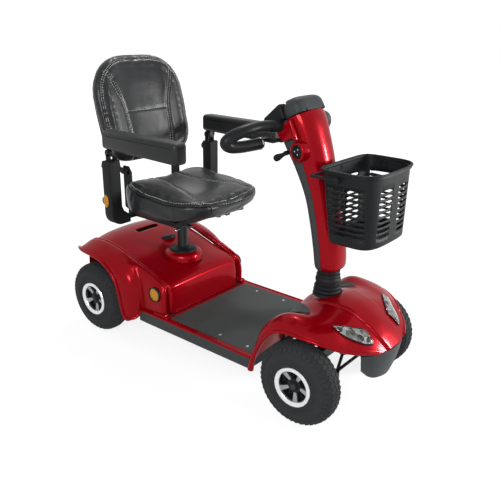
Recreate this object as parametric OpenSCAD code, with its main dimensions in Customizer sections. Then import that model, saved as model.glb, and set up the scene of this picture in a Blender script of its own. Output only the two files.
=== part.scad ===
// Four-wheel mobility scooter. Millimetres, +X forward, +Y to the rider's left, +Z up.
// The origin is on the ground, at the middle of the scooter's length and width.

/* [Overall] */
// Length from the rear bumper to the front bumper
overall_l = 1220; // [1180:5:1260]
// Wall of the moulded body panels
panel_t = 3; // [2:0.5:4]
// From the rear bumper's back face to the rear axle
rear_overhang = 133; // [131:1:140]
// From the front axle to the front bumper's face
front_overhang = 182; // [172:1:192]
// Gap between pieces that move past each other
clear = 0.5; // [0.4:0.1:1]
// Radial clearance of a shaft that turns in its bore
run_clear = 0.05; // [0.02:0.01:0.1]

/* [Wheels] */
// Outside diameter of a tyre
tyre_d = 260; // [250:2:264]
// Width of a tyre
tyre_w = 84; // [76:2:86]
// Diameter of the silver ring of a rim
rim_d = 124; // [118:2:130]
// Distance between the middles of a pair of tyres
track = 457; // [455:1:470]
// Diameter of the front stub axles
stub_d = 16; // [14:1:18]
// Diameter of the rear half shafts
half_shaft_d = 20; // [18:1:22]
// Number of spokes in a rim
spokes = 5; // [3:1:7]

/* [Deck] */
// Height of the deck's top
deck_z = 138; // [136:1:142]
// Height of the skirt's lower edge
skirt_z = 97; // [92:1:98]
// Width of the deck
deck_w = 454; // [446:2:460]
// Front end of the deck
deck_front = 240; // [236:1:242]
// Thickness of the rubber mat
mat_t = 3; // [2:0.5:4]
// Red border left free beside the mat
mat_border = 24; // [18:1:30]

/* [Frame] */
// Width of a side rail
rail_w = 18; // [14:1:20]
// Height of a side rail
rail_h = 30; // [26:1:32]
// Distance between the outer faces of the rails
frame_w = 364; // [356:2:366]

/* [Rear body] */
// Where the hood's front face stands
hood_front = -150; // [-156:1:-146]
// Width of the hood between the two grooves
hood_w = 362; // [350:2:362]
// Height of the hood's front top edge
hood_edge_z = 242; // [238:1:250]
// Height of the hood over the rear axle
hood_top_z = 350; // [346:1:356]
// Width of the groove between the hood and a fender
groove = 3.5; // [3:0.5:5]
// Width across the rear fenders' lips
fender_w = 528; // [520:2:536]

/* [Front body] */
// Height of the cowl under the bellows
cowl_top_z = 322; // [318:1:326]
// Height of the cowl's front lip
nose_z = 221; // [216:1:226]
// Width across the front fenders' lips
cowl_w = 470; // [462:2:476]
// Height of the front bumper's lower edge
bumper_z = 118; // [112:1:124]

/* [Steering] */
// Where the steering column stands
column_x = 363; // [358:1:368]
// Diameter of the steering shaft
column_d = 25; // [22:1:28]
// Distance between the kingpins
kingpin_track = 316; // [312:1:318]
// Diameter of a kingpin
kingpin_d = 14; // [12:1:16]
// Length of the steering arms
arm_l = 75; // [70:1:80]
// Height of the tiller's tilt pin
tilt_z = 362; // [356:1:366]
// Diameter of the tilt pin
tilt_pin_d = 10; // [8:1:12]

/* [Tiller] */
// Height of the lower end of the tiller's covers
tiller_z0 = 404; // [402:1:410]
// Outside diameter of the mast
mast_d = 32; // [28:1:36]
// Slope of the console
console_slope = 29; // [25:1:33]
// Length of the console along its slope
console_l = 140; // [134:1:146]
// Width of the console at the head
console_w = 146; // [140:1:150]
// Diameter of a padded grip
grip_d = 34; // [30:1:36]
// Diameter of the bare handlebar
bar_d = 22; // [20:1:24]
// Distance between the outer ends of the handlebar loops
bar_w = 540; // [530:2:544]

/* [Basket] */
// Width of the basket's rim
basket_w = 252; // [240:2:264]
// Depth of the basket's rim from back to front
basket_l = 166; // [156:2:176]
// Height of the basket
basket_h = 210; // [196:2:220]
// Height of the basket's rim
basket_z = 740; // [734:1:746]
// Back of the basket's rim
basket_x = 384; // [382:1:390]
// Wall of the basket
basket_t = 3; // [2:0.5:4]

/* [Seat] */
// Where the seat post stands
post_x = -266; // [-270:1:-262]
// Diameter of the seat post
post_d = 40; // [36:1:42]
// Width of the seat cushion
seat_w = 404; // [390:2:410]
// Depth of the seat cushion
seat_l = 364; // [356:2:372]
// Front end of the seat cushion
seat_front = -28; // [-34:1:-20]
// Height of the cushion's underside
seat_z = 470; // [466:1:474]
// Thickness of the cushion at its edge
seat_t = 84; // [78:1:90]
// Height of the backrest cushion
back_h = 368; // [345:1:370]
// Width of the backrest
back_w = 404; // [390:2:410]
// Lean of the backrest
back_lean = 14; // [10:1:16]
// Height of the backrest hinge
back_hinge_z = 600; // [596:1:604]

/* [Armrests] */
// Distance between the outer faces of the armrests
arms_w = 534; // [530:1:540]
// Length of an armrest pad
pad_l = 346; // [330:2:356]
// Width of an armrest pad
pad_w = 55; // [48:1:58]
// Height of an armrest pad
pad_h = 61; // [54:1:64]
// Height of the pads' tops
pad_z = 766; // [760:1:772]
// Back end of the pads
pad_x = -368; // [-372:1:-362]

/* [Drive] */
// Length of a battery
battery_l = 195; // [180:1:196]
// Width of a battery
battery_w = 130; // [116:1:130]
// Height of a battery
battery_h = 156; // [140:1:158]
// Diameter of the drive motor
motor_d = 84; // [76:1:88]

/* [Hidden] */
$fn = 48;

// Colours of the finishes
red = "#a3101c";
dark = "#35373a";
black = "#1c1d1f";
steel = "#8f949a";
silver = "#d9dcdf";
amber = "#d98a1f";
leather = "#2b2c2e";
clear_lens = "#c9d2d6";
lamp_red = "#b3121a";

// The rear and the front of the body keep their shape.
// The floor between them takes up a change of length.
base_l = 1220;
stretch = (overall_l - base_l) / 2;

// Places that follow from the driving dimensions
x_back = -base_l / 2;
x_nose = base_l / 2;
x_rear = x_back + rear_overhang;
x_front = x_nose - front_overhang;
axle_z = tyre_d / 2;
wheel_y = track / 2;
deck_hw = deck_w / 2;
rail_y = frame_w / 2 - rail_w;
rail_z = skirt_z + 3;
rail_top = rail_z + rail_h;
deck_back = hood_front + panel_t + clear;
floor_back = deck_back - stretch;
floor_front = deck_front + stretch;
kingpin_y = kingpin_track / 2;
pin_x = x_front + arm_l;
pad_y = arms_w / 2;
seat_hw = seat_w / 2;
seat_top = seat_z + seat_t;
seat_back = seat_front - seat_l;

// Basic helpers
function lerp(a, b, t) = a + (b - a) * t;
function unit(v) = v / max(norm(v), 1e-9);
function flip(p) = [p[0], -p[1], p[2]];
function reversed(p) = [for (i = [len(p) - 1:-1:0]) p[i]];

// A smooth curve through the points p, at t from 0 to 1
function along(p, t) =
  let (
    n = len(p) - 1,
    s = min(floor(t * n), n - 1),
    u = t * n - s,
    a = p[max(s - 1, 0)],
    b = p[s],
    c = p[s + 1],
    d = p[min(s + 2, n)]
  )
  0.5 * (2 * b + (c - a) * u + (2 * a - 5 * b + 4 * c - d) * u * u + (3 * b - a - 3 * c + d) * u * u * u);

// Points of a smooth surface through rows of control points
function surface_grid(rows, nu, nv) = [
  for (i = [0:nu])
    let (row = [for (j = [0:len(rows[0]) - 1]) along([for (r = rows) r[j]], i / nu)])
    [for (j = [0:nv]) along(row, j / nv)]
];

// A point of a smooth surface, u along the rows' order and v across a row, from 0 to 1
function surface_at(rows, u, v) =
  along([for (j = [0:len(rows[0]) - 1]) along([for (r = rows) r[j]], u)], v);

function surface_normal(rows, u, v) =
  let (e = 0.002)
  unit(cross(surface_at(rows, u + e, v) - surface_at(rows, u - e, v),
    surface_at(rows, u, v + e) - surface_at(rows, u, v - e)));

// The surface's unit normal at a point of the grid
function grid_normal(g, i, j) =
  let (n = len(g) - 1, m = len(g[0]) - 1)
  unit(cross(g[min(i + 1, n)][j] - g[max(i - 1, 0)][j], g[i][min(j + 1, m)] - g[i][max(j - 1, 0)]));

// A row of control points on one side, carried over to the other side
function both_sides(row) = concat([for (p = row) flip(p)], [for (i = [len(row) - 2:-1:0]) row[i]]);

// A moulded panel: a smooth surface through rows of control points, t thick behind its face
module panel(rows, nu, nv, t) {
  sheet(surface_grid(rows, nu, nv), t);
}

// A sheet of thickness t behind a grid of points
module sheet(g, t) {
  nu = len(g) - 1;
  nv = len(g[0]) - 1;
  w = nv + 1;
  n = (nu + 1) * w;
  face = [for (r = g) for (p = r) p];
  back = [for (i = [0:nu]) for (j = [0:nv]) g[i][j] - t * grid_normal(g, i, j)];
  quads = [for (i = [0:nu - 1])
    for (j = [0:nv - 1]) [i * w + j, (i + 1) * w + j, (i + 1) * w + j + 1, i * w + j + 1]];
  edge = concat(
    [for (j = [0:nv - 1]) [j, j + 1]],
    [for (i = [0:nu - 1]) [i * w + nv, (i + 1) * w + nv]],
    [for (j = [nv:-1:1]) [nu * w + j, nu * w + j - 1]],
    [for (i = [nu:-1:1]) [i * w, (i - 1) * w]]
  );
  faces = concat(
    [for (q = quads) [q[0], q[2], q[1]]],
    [for (q = quads) [q[0], q[3], q[2]]],
    [for (q = quads) [q[0] + n, q[1] + n, q[2] + n]],
    [for (q = quads) [q[0] + n, q[2] + n, q[3] + n]],
    [for (e = edge) [e[0], e[1] + n, e[1]]],
    [for (e = edge) [e[0], e[0] + n, e[1] + n]]
  );
  polyhedron(concat(face, back), faces);
}

// A solid lofted through closed rings of points
module loft(rings) {
  m = len(rings[0]);
  n = len(rings);
  sides = [for (i = [0:n - 2]) for (j = [0:m - 1])
    let (k = (j + 1) % m)
    [i * m + j, i * m + k, (i + 1) * m + k, (i + 1) * m + j]];
  mid = function(r) [for (k = [0:2]) [for (p = r) p[k]] * [for (p = r) 1] / m];
  faces = concat(
    [for (q = sides) [q[0], q[2], q[1]]],
    [for (q = sides) [q[0], q[3], q[2]]],
    [for (j = [0:m - 1]) [n * m, j, (j + 1) % m]],
    [for (j = [0:m - 1]) [n * m + 1, (n - 1) * m + (j + 1) % m, (n - 1) * m + j]]
  );
  polyhedron(concat([for (r = rings) for (p = r) p], [mid(rings[0]), mid(rings[n - 1])]), faces);
}

// Points of a rounded outline of half sizes a and b, with exponent e
function squircle(a, b, e, m) = [
  for (i = [0:m - 1])
    let (t = 360 * i / m, c = cos(t), s = sin(t))
    [a * sign(c) * pow(abs(c), 2 / e), b * sign(s) * pow(abs(s), 2 / e)]
];

// A round bar from point a to point b
module bar(a, b, r) {
  d = b - a;
  translate(a) rotate([0, acos(d[2] / norm(d)), atan2(d[1], d[0])]) cylinder(r = r, h = norm(d));
}

// A round tube swept along points, with n sides
module swept(p, r, n) {
  m = len(p);
  tangent = [for (i = [0:m - 1]) unit(p[min(i + 1, m - 1)] - p[max(i - 1, 0)])];
  rings = [for (i = [0:m - 1])
    let (s = unit(cross(tangent[i], [1, 0, 0])), u = cross(s, tangent[i]))
    [for (k = [0:n - 1]) p[i] + r * (cos(360 * k / n) * s + sin(360 * k / n) * u)]];
  loft(rings);
}

// A box with rounded vertical edges
module rounded_box(l, w, h, r) {
  linear_extrude(h) rounded_rect(l, w, r);
}

module rounded_rect(l, w, r) {
  union() {
    square([l - 2 * r, w], center = true);
    square([l, w - 2 * r], center = true);
    for (x = [-1, 1], y = [-1, 1]) translate([x * (l / 2 - r), y * (w / 2 - r)]) circle(r);
  }
}

// A plate in the XZ plane, t thick, in the middle of y
module side_plate(points, y, t) {
  translate([0, y + t / 2, 0]) rotate([90, 0, 0]) linear_extrude(t) polygon(points);
}

module right_side() {
  children();
}

// Pieces that move with the rear end and with the front end of the body
module at_rear() {
  translate([-stretch, 0, 0]) children();
}

module at_front() {
  translate([stretch, 0, 0]) children();
}

module left_side() {
  mirror([0, 1, 0]) children();
}

// Frame
tower_r = post_d / 2 + 8;
tower_top = 306;
tray_t = 4;
battery_x = -412;
head_r = column_d / 2 + 7;
head_z0 = 176;
head_z1 = 318;
beam_z = 165;
beam_h = 30;
boss_r = kingpin_d / 2 + 5;
spine_y = 46;
spine_t = 10;

module main_frame() {
  color(steel) difference() {
    union() {
      middle_frame();
      at_rear() rear_frame();
      at_front() front_frame();
    }
    at_rear() {
      translate([post_x, 0, rail_z - tray_t - 1]) cylinder(r = post_d / 2 + run_clear, h = tower_top);
      translate([x_rear, 200, axle_z]) rotate([90, 0, 0]) cylinder(r = tube_r + clear, h = 400);
    }
    at_front() {
      translate([column_x, 0, head_z0 - 1]) cylinder(r = column_d / 2 + run_clear, h = head_z1);
      for (s = [-1, 1]) translate([x_front, s * kingpin_y, beam_z - 5])
        cylinder(r = kingpin_d / 2 + run_clear, h = beam_h + 10);
    }
  }
}

// A cross member between the rails
module cross_member(x) {
  translate([x, -rail_y, rail_z]) cube([24, 2 * rail_y, rail_h - 6]);
}

// The side rails, from the rear end to the front of the floor
module middle_frame() {
  x0 = x_back + 34 - stretch;
  for (s = [-1, 1]) translate([x0, s > 0 ? rail_y : -rail_y - rail_w, rail_z])
    cube([floor_front - 12 - x0, rail_w, rail_h]);
  cross_member(-60);
}

// The battery tray, the seat post's tower and what carries the axle, the fenders and the rear bumper
module rear_frame() {
  cross_member(x_back + 34);
  cross_member(-206);
  translate([battery_x - 6, -frame_w / 2, rail_z - tray_t]) cube([battery_l + 12, frame_w, tray_t + 1]);
  translate([post_x, 0, rail_z - tray_t]) cylinder(r = tower_r, h = tower_top - rail_z + tray_t);
  for (s = [-1, 1]) transaxle_ear(s);
  for (s = [-1, 1]) translate([x_back + 20, s * 110 - 10, rail_z]) cube([20, 20, rail_h - 6]);
  for (s = [0, 1]) mirror([0, s, 0]) fender_stay();
}

// The steering head, the front beam with its kingpin bosses and the stays of the front bumper
module front_frame() {
  for (s = [-1, 1]) spine_plate(s * spine_y);
  cross_member(deck_front - 36);
  translate([column_x, 0, head_z0]) cylinder(r = head_r, h = head_z1 - head_z0);
  translate([column_x, -spine_y, head_z0 + 4]) cube([4, 2 * spine_y, 30]);
  translate([x_front - 15, -kingpin_y, beam_z]) cube([30, kingpin_track, beam_h]);
  for (s = [-1, 1]) translate([x_front, s * kingpin_y, beam_z - 4]) cylinder(r = boss_r, h = beam_h + 8);
  for (y = [-13, 9]) translate([column_x, y, beam_z + beam_h]) cube([x_nose - 60 - column_x, 4, 14]);
}

// Side plates that rise from the deck's last cross member to the front beam
module spine_plate(y) {
  side_plate([
    [deck_front - 36, rail_z], [deck_front - 6, rail_z], [deck_front + 56, beam_z],
    [x_front + 15, beam_z], [x_front + 15, beam_z + beam_h], [deck_front + 64, beam_z + beam_h],
    [deck_front - 2, rail_top - 2], [deck_front - 36, rail_top - 2]
  ], y, spine_t);
}

// A post on the rail with a stub that carries the fender's side
module fender_stay() {
  wall = surface_at(fender_rows(hood_hw + groove), 0.2, 0.84);
  translate([wall[0] - 7, rail_y + 2, rail_z + 2]) cube([14, rail_w - 4, wall[2] + 7 - rail_z - 2]);
  translate([wall[0], rail_y + 4, wall[2]]) rotate([-90, 0, 0])
    cylinder(r = 6, h = wall[1] - rail_y - 4 - panel_t - 0.3);
}

// Plates that hold the transaxle's axle tubes from the rails
module transaxle_ear(s) {
  side_plate([
    [x_rear - 30, rail_top], [x_rear + 30, rail_top], [x_rear + 30, axle_z + 28], [x_rear - 30, axle_z + 28]
  ], s * (rail_y + rail_w / 2), rail_w - 6);
}

// Deck
skirt_t = 4;
trim_t = 4;

module deck_outline(inset) {
  translate([(floor_back + floor_front) / 2, 0])
    rounded_rect(floor_front - floor_back - 2 * inset, deck_w - 2 * inset, 10);
}

module deck_pan() {
  color(dark) difference() {
    translate([0, 0, skirt_z]) linear_extrude(deck_z - trim_t - skirt_z) pan_outline(0);
    translate([0, 0, skirt_z - 1]) linear_extrude(rail_top - skirt_z + 1) pan_outline(skirt_t);
    translate([-300 - stretch, -deck_hw + 12, skirt_z - 1]) cube([134, deck_w - 24, 60]);
    translate([floor_front - 10, -60, skirt_z - 1]) cube([20, 120, rail_top - skirt_z + 1]);
  }
}

// The pan reaches back beside the hood as far as the fenders
module pan_outline(inset) {
  x0 = -246 - stretch;
  translate([(x0 + floor_front) / 2, 0]) rounded_rect(floor_front - x0 - 2 * inset, deck_w - 2 * inset, 8);
}

module deck_trim() {
  color(red) translate([0, 0, deck_z - trim_t]) difference() {
    linear_extrude(trim_t) deck_outline(-0.5);
    translate([0, 0, trim_t - mat_t + 1]) linear_extrude(trim_t) mat_outline(0);
  }
}

module mat_outline(inset) {
  x0 = floor_back + 14;
  x1 = floor_front - 8;
  translate([(x0 + x1) / 2, 0])
    rounded_rect(x1 - x0 - 2 * inset, deck_w - 2 * mat_border - 2 * inset, 8);
}

screw_y = deck_hw - mat_border - 26;
screw_places = [for (x = [-51 - stretch, 74, 190 + stretch], s = [-1, 1]) [x, s * screw_y]];
screw_d = 5.6;
screw_head_d = 9.4;
screw_head_h = 1.6;

// The mat's front runs up the cowl, with a tongue on each side of the bellows
function mat_reach(t) = let (d = abs(t - 0.5)) lerp(0.235, 0.47, min(1, max(0, (d - 0.13) / 0.12)));

function mat_ramp() =
  let (rows = cowl_rows(), nu = 9, nv = 24)
  [for (i = [0:nu]) [for (j = [0:nv])
    let (
      t = j / nv,
      edge = lerp(0.215, 0.27, i / nu),
      u = lerp(0.035, mat_reach(t), i / nu),
      v = lerp(edge, 1 - edge, t)
    )
    surface_at(rows, u, v) + (mat_t + 2.5) * surface_normal(rows, u, v)]];

module deck_mat() {
  color(dark) at_front() sheet(mat_ramp(), mat_t - 1);
  color(dark) difference() {
    translate([0, 0, deck_z - mat_t + 1]) linear_extrude(mat_t) mat_outline(clear);
    for (p = screw_places) translate([p[0], p[1], deck_z - mat_t]) {
      cylinder(d = screw_d + 0.4, h = mat_t + 2);
      translate([0, 0, mat_t + 1 - screw_head_h]) cylinder(d = screw_head_d + 0.4, h = screw_head_h + 1);
    }
  }
}

// The screws' heads lie a little under the mat's face
module mat_screws() {
  color(silver) for (p = screw_places) translate([p[0], p[1], deck_z - mat_t + 1]) {
    cylinder(d = screw_d, h = mat_t - screw_head_h + 0.5);
    translate([0, 0, mat_t - screw_head_h]) cylinder(d = screw_head_d, h = screw_head_h - 0.2);
  }
}

// Rear body
hood_hw = hood_w / 2;
fender_hw = fender_w / 2;
side_y = 214;

// Heights of the hood along its middle and along its edges
hood_mid = [
  [hood_front - 12, hood_edge_z + 4], [-190, hood_edge_z + 22], [post_x, hood_edge_z + 46],
  [-370, hood_top_z - 28], [x_rear, hood_top_z - 2], [-556, hood_top_z - 8], [x_back + 22, hood_top_z - 42],
  [x_back + 12, hood_top_z - 90], [x_back + 12, hood_top_z - 140]
];
hood_drop = [6, 8, 10, 12, 14, 18, 16, 6, 2];

function hood_rows() = concat(
  [both_sides([
    [hood_front - 22, hood_hw, deck_z + 1], [hood_front - 8, hood_hw - 5, deck_z + 1],
    [hood_front - 1, hood_hw - 20, deck_z + 1], [hood_front, 100, deck_z + 1], [hood_front, 0, deck_z + 1]
  ])],
  [both_sides([
    [hood_front - 22, hood_hw, deck_z + 56], [hood_front - 9, hood_hw - 5, deck_z + 58],
    [hood_front - 2, hood_hw - 20, deck_z + 60], [hood_front - 1, 100, deck_z + 62],
      [hood_front - 1, 0, deck_z + 63]
  ])],
  [both_sides([
    [hood_front - 24, hood_hw, hood_edge_z - 26], [hood_front - 13, hood_hw - 5, hood_edge_z - 20],
    [hood_front - 6, hood_hw - 20, hood_edge_z - 16], [hood_front - 5, 100, hood_edge_z - 13],
    [hood_front - 5, 0, hood_edge_z - 12]
  ])],
  [for (i = [0:len(hood_mid) - 1])
    let (x = hood_mid[i][0], z = hood_mid[i][1], d = hood_drop[i])
    both_sides([
      [x - (i == 0 ? 14 : 0), hood_hw, z - d - 18], [x - (i == 0 ? 8 : 0), hood_hw - 3, z - d - 7],
      [x, hood_hw - 18, z - d], [x, 100, z - 0.3 * d], [x, 0, z]
    ])]
);

module rear_hood() {
  color(red) {
    difference() {
      panel([for (r = hood_rows()) reversed(r)], 24, 20, panel_t);
      translate([post_x, 0, hood_edge_z - 60]) cylinder(r = tower_r + 2, h = 160);
      hood_grab();
    }
    hood_boss();
  }
}

// Hand slot behind the seat post, for lifting the hood
module hood_grab() {
  translate([-462, 0, hood_top_z - 40]) linear_extrude(80) rounded_rect(22, 96, 10);
}

// Raised ring around the seat post
boss_top = 308;
boss_z0 = hood_edge_z + 40;

module hood_boss() {
  h = boss_top - boss_z0;
  translate([post_x, 0, boss_z0]) rotate_extrude() polygon([
    [tower_r + 2, 0], [68, 0], [67, h - 9], [62, h - 2], [55, h], [tower_r + 2, h]
  ]);
}

module seat_collar() {
  color(black) translate([post_x, 0, boss_top]) rotate_extrude() polygon([
    [tower_r + clear, 0], [48, 0], [50, 3], [48, 8], [40, 12], [tower_r + 10, 16], [tower_r + 6, 34],
    [post_d / 2 + clear, 34], [post_d / 2 + clear, tower_top - boss_top + clear],
    [tower_r + clear, tower_top - boss_top + clear]
  ]);
}

// A fender: its rows run from the front apron over the wheel to the tail, from the groove to the lip
function fender_rows(y_in) = [
  [[-176, y_in, deck_z + 2], [-160, y_in + 8, deck_z + 2], [-152, side_y - 10, deck_z + 2],
    [-164, side_y, deck_z + 2], [-190, side_y + 1, deck_z + 2]],
  [[-176, y_in, hood_edge_z - 42], [-160, y_in + 8, hood_edge_z - 40],
    [-153, side_y - 10, hood_edge_z - 42],
    [-166, side_y, hood_edge_z - 46], [-206, side_y + 1, deck_z + 2]],
  [[-180, y_in, hood_edge_z], [-168, y_in + 9, hood_edge_z + 4], [-170, side_y - 10, hood_edge_z],
    [-184, side_y, hood_edge_z - 24], [-226, side_y + 1, deck_z + 2]],
  [[-226, y_in, hood_edge_z + 26], [-226, y_in + 10, hood_edge_z + 32],
    [-226, side_y - 9, hood_edge_z + 25],
    [-236, side_y + 2, hood_edge_z - 20], [-248, side_y + 3, deck_z + 2]],
  [[-290, y_in, hood_edge_z + 48], [-290, y_in + 12, hood_edge_z + 54],
    [-284, side_y + 4, hood_edge_z + 38],
    [-272, side_y + 18, hood_edge_z - 40], [-274, side_y + 28, deck_z - 32]],
  [[-340, y_in, hood_edge_z + 64], [-340, y_in + 14, hood_edge_z + 69],
    [-336, side_y + 14, hood_edge_z + 56],
    [-314, fender_hw - 8, hood_edge_z + 2], [-312, fender_hw - 4, deck_z - 30]],
  [[-400, y_in, hood_edge_z + 82], [-400, y_in + 16, hood_edge_z + 86],
    [-398, side_y + 18, hood_edge_z + 72],
    [-374, fender_hw - 6, hood_edge_z + 46], [-344, fender_hw, hood_edge_z - 8]],
  [[x_rear, y_in, hood_top_z - 14], [x_rear, y_in + 16, hood_top_z - 12],
    [x_rear, side_y + 18, hood_top_z - 26],
    [x_rear + 10, fender_hw - 6, hood_top_z - 40], [x_rear + 62, fender_hw, hood_top_z - 56]],
  [[-548, y_in, hood_top_z - 22], [-548, y_in + 12, hood_top_z - 20], [-548, side_y + 8, hood_top_z - 30],
    [-546, fender_hw - 16, hood_top_z - 40], [-530, fender_hw - 8, hood_top_z - 46]],
  [[x_back + 22, y_in, hood_top_z - 56], [x_back + 18, y_in + 10, hood_top_z - 54],
    [x_back + 20, side_y - 8, hood_top_z - 52],
    [x_back + 26, side_y + 10, hood_top_z - 50], [x_back + 34, side_y + 24, hood_top_z - 48]]
];

module rear_fender() {
  color(red) panel([for (r = fender_rows(hood_hw + groove)) reversed(r)], 22, 10, panel_t);
}

reflector_x = -194;
reflector_z = 216;
reflector_r = 24;

module side_reflectors() {
  color(amber) for (s = [-1, 1]) translate([reflector_x, s * (side_y + 1.5), reflector_z])
    rotate([-s * 90, 0, 0]) {
    cylinder(r = reflector_r, h = 5);
    translate([0, 0, 5]) cylinder(r1 = reflector_r - 2, r2 = reflector_r - 8, h = 3);
  }
}

bumper_hw = 176;

module rear_bumper() {
  color(dark) translate([0, 0, skirt_z + 8]) linear_extrude(96) polygon(concat(
    [for (t = [-1:0.25:1]) [x_back + 24 * t * t, bumper_hw * t]],
    [for (t = [1:-0.25:-1]) [x_back + 10 + 20 * t * t, (bumper_hw - 2) * t]]
  ));
}

module tail_lamps() {
  color(lamp_red) for (s = [-1, 1]) translate([x_back + 11, s * 120, hood_top_z - 100]) rotate([0, -90, 0])
    linear_extrude(8) rounded_rect(34, 78, 14);
}

// Drive
module batteries() {
  color(black) for (s = [-1, 1]) translate([battery_x, s > 0 ? 32 : -32 - battery_w, rail_z + 1]) {
    cube([battery_l, battery_w, battery_h - 14]);
    translate([4, 4, battery_h - 14]) cube([battery_l - 8, battery_w - 8, 8]);
    for (x = [26, battery_l - 26]) translate([x, battery_w / 2, battery_h - 6]) cylinder(d = 12, h = 6);
  }
}

module controller() {
  color(black) translate([-206, -60, rail_top - 6]) {
    cube([40, 120, 50]);
    for (i = [0:6]) translate([4 + i * 5, 4, 50]) cube([2, 112, 5]);
  }
}

casing_r = 54;
tube_r = half_shaft_d / 2 + 10;

module transaxle() {
  color(steel) translate([x_rear, 0, axle_z]) rotate([-90, 0, 0]) difference() {
    union() {
      translate([0, 0, -36]) cylinder(r = casing_r, h = 72);
      for (s = [-1, 1]) translate([0, 0, s * 102.5 - 67.5]) cylinder(r = tube_r, h = 135);
      translate([-30, -motor_y, -36]) cylinder(r = 34, h = 44);
      translate([-44, -motor_y, -36]) cube([30, motor_y, 44]);
    }
    for (s = [-1, 1]) translate([0, 0, s > 0 ? 40 : -171])
      cylinder(r = half_shaft_d / 2 + run_clear, h = 131);
  }
}

motor_y = 104;

module drive_motor() {
  color(black) translate([x_rear - 30, 8 + clear, axle_z + motor_y]) rotate([-90, 0, 0]) {
    cylinder(d = motor_d, h = 104);
    translate([0, 0, 104]) cylinder(d = motor_d - 16, h = 26);
    translate([0, 0, 129]) cylinder(r = 5 - run_clear, h = 11);
  }
}

module freewheel_lever() {
  color(red) translate([x_rear - 30, 8 + clear + 131, axle_z + motor_y]) rotate([-90, 0, 0]) difference() {
    union() {
      cylinder(r = 14, h = 8);
      translate([-58, -6, 0]) cube([58, 12, 8]);
      translate([-60, 0, 0]) cylinder(r = 11, h = 8);
    }
    translate([0, 0, -1]) cylinder(r = 5, h = 10);
  }
}

// Front body: rows run from the foot of the cowl forward to the nose, from the lip to the middle
cowl_hw = cowl_w / 2;

function cowl_rows() = [for (r = [
  [[250, cowl_hw, skirt_z + 4], [246, cowl_hw - 8, skirt_z + 6], [244, cowl_hw - 34, deck_z - 6],
    [deck_front + 1, 120, deck_z], [deck_front + 1, 60, deck_z], [deck_front + 1, 0, deck_z]],
  [[268, cowl_hw, 165], [258, cowl_hw - 8, 178], [252, cowl_hw - 34, 196], [255, 122, 178],
    [252, 62, 176], [252, 0, 178]],
  [[300, cowl_hw, 226], [287, cowl_hw - 10, 254], [282, cowl_hw - 42, 262], [282, 126, 240],
    [276, 66, 240], [274, 0, 248]],
  [[350, cowl_hw, 267], [344, cowl_hw - 12, 293], [338, cowl_hw - 52, 308], [322, 128, 282], [312, 66, 284],
    [306, 0, cowl_top_z - 24]],
  [[x_front, cowl_hw, 273], [x_front - 4, cowl_hw - 20, 294], [x_front - 8, cowl_hw - 68, 307],
    [405, 122, cowl_top_z - 14],
    [384, 62, cowl_top_z - 4], [column_x + 4, 0, cowl_top_z + 2]],
  [[490, 212, 261], [487, 200, 274], [487, 164, 289], [480, 114, 300], [472, 54, 313], [466, 0, 320]],
  [[538, 170, 241], [535, 161, 252], [530, 136, 261], [530, 96, 277], [530, 46, 285], [530, 0, 290]],
  [[578, 120, 230], [576, 113, 238], [572, 97, 244], [571, 68, 251], [571, 34, 256], [571, 0, 258]],
  [[x_nose - 12, 76, nose_z + 2], [x_nose - 9, 60, nose_z + 1], [x_nose - 6, 45, nose_z],
    [x_nose - 4, 30, nose_z],
    [x_nose - 3, 15, nose_z], [x_nose - 3, 0, nose_z]]
]) both_sides(r)];

module front_cowl() {
  color(red) difference() {
    panel(cowl_rows(), 24, 32, panel_t);
    translate([column_x, 0, cowl_top_z - 90]) cylinder(r = bellows_r0 + 1.5, h = 180);
  }
}

module headlamps() {
  upper = [[476, 148, 296], [495, 123, 293], [518, 95, 285], [539, 71, 276]];
  lower = [[498, 148, 286], [518, 137, 272], [557, 107, 252], [575, 80, 245]];
  rise = unit([0.52, 0.17, 0.83]);
  color(clear_lens) for (s = [0, 1]) mirror([0, s, 0]) panel([
    for (k = [0, 0.5, 1])
      [for (i = [3:-1:0]) lerp(upper[i], lower[i], k) + (6 + 12.8 * k * (1 - k)) * rise]
  ], 6, 10, 5);
}

module front_bumper() {
  top = nose_z - 3;
  color(dark) panel([
    for (k = [0, 0.34, 0.68, 1])
      reversed(both_sides([for (t = [1:-0.2:0]) [
        x_nose - 6 * (1 - k) - 14 * pow(1 - k, 2) - lerp(40, 46, k) * pow(t, 2.3),
        lerp(92, 122, pow(k, 0.6)) * t,
        lerp(bumper_z + 8 * t, top, k)
      ]]))
  ], 6, 20, 8);
}

// Steering
arm_z = 143;
arm_t = 10;
eye_r = 13;
link_d = 12;
stud_d = 9;

module steering_shaft() {
  color(steel) {
    difference() {
      union() {
        translate([column_x, 0, arm_z]) cylinder(d = column_d, h = head_z1 + 8 - arm_z);
        translate([column_x, 0, head_z1 + clear]) cylinder(r = head_r, h = 12);
        clevis();
      }
      translate([column_x, 30, tilt_z]) rotate([90, 0, 0]) cylinder(r = tilt_pin_d / 2 + run_clear, h = 60);
    }
    pitman();
  }
}

// Two ears that carry the tilt pin
module clevis() {
  for (y = [-22, 14]) translate([column_x - 14, y, head_z1 + 8]) cube([28, 8, tilt_z + 14 - head_z1 - 8]);
}

module pitman() {
  difference() {
    hull_free_arm(column_x, 0, arm_z);
    translate([column_x + arm_l, 0, arm_z - 1]) cylinder(d = stud_d, h = arm_t + 2);
  }
  translate([column_x + arm_l, 0, arm_z - 16]) cylinder(d = stud_d, h = 16 + arm_t);
}

// A flat arm, arm_l long, forward of a turning axis
module hull_free_arm(x, y, z) {
  translate([x, y, z]) {
    cylinder(r = eye_r + 4, h = arm_t);
    translate([0, -eye_r, 0]) cube([arm_l, 2 * eye_r, arm_t]);
    translate([arm_l, 0, 0]) cylinder(r = eye_r, h = arm_t);
  }
}

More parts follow.
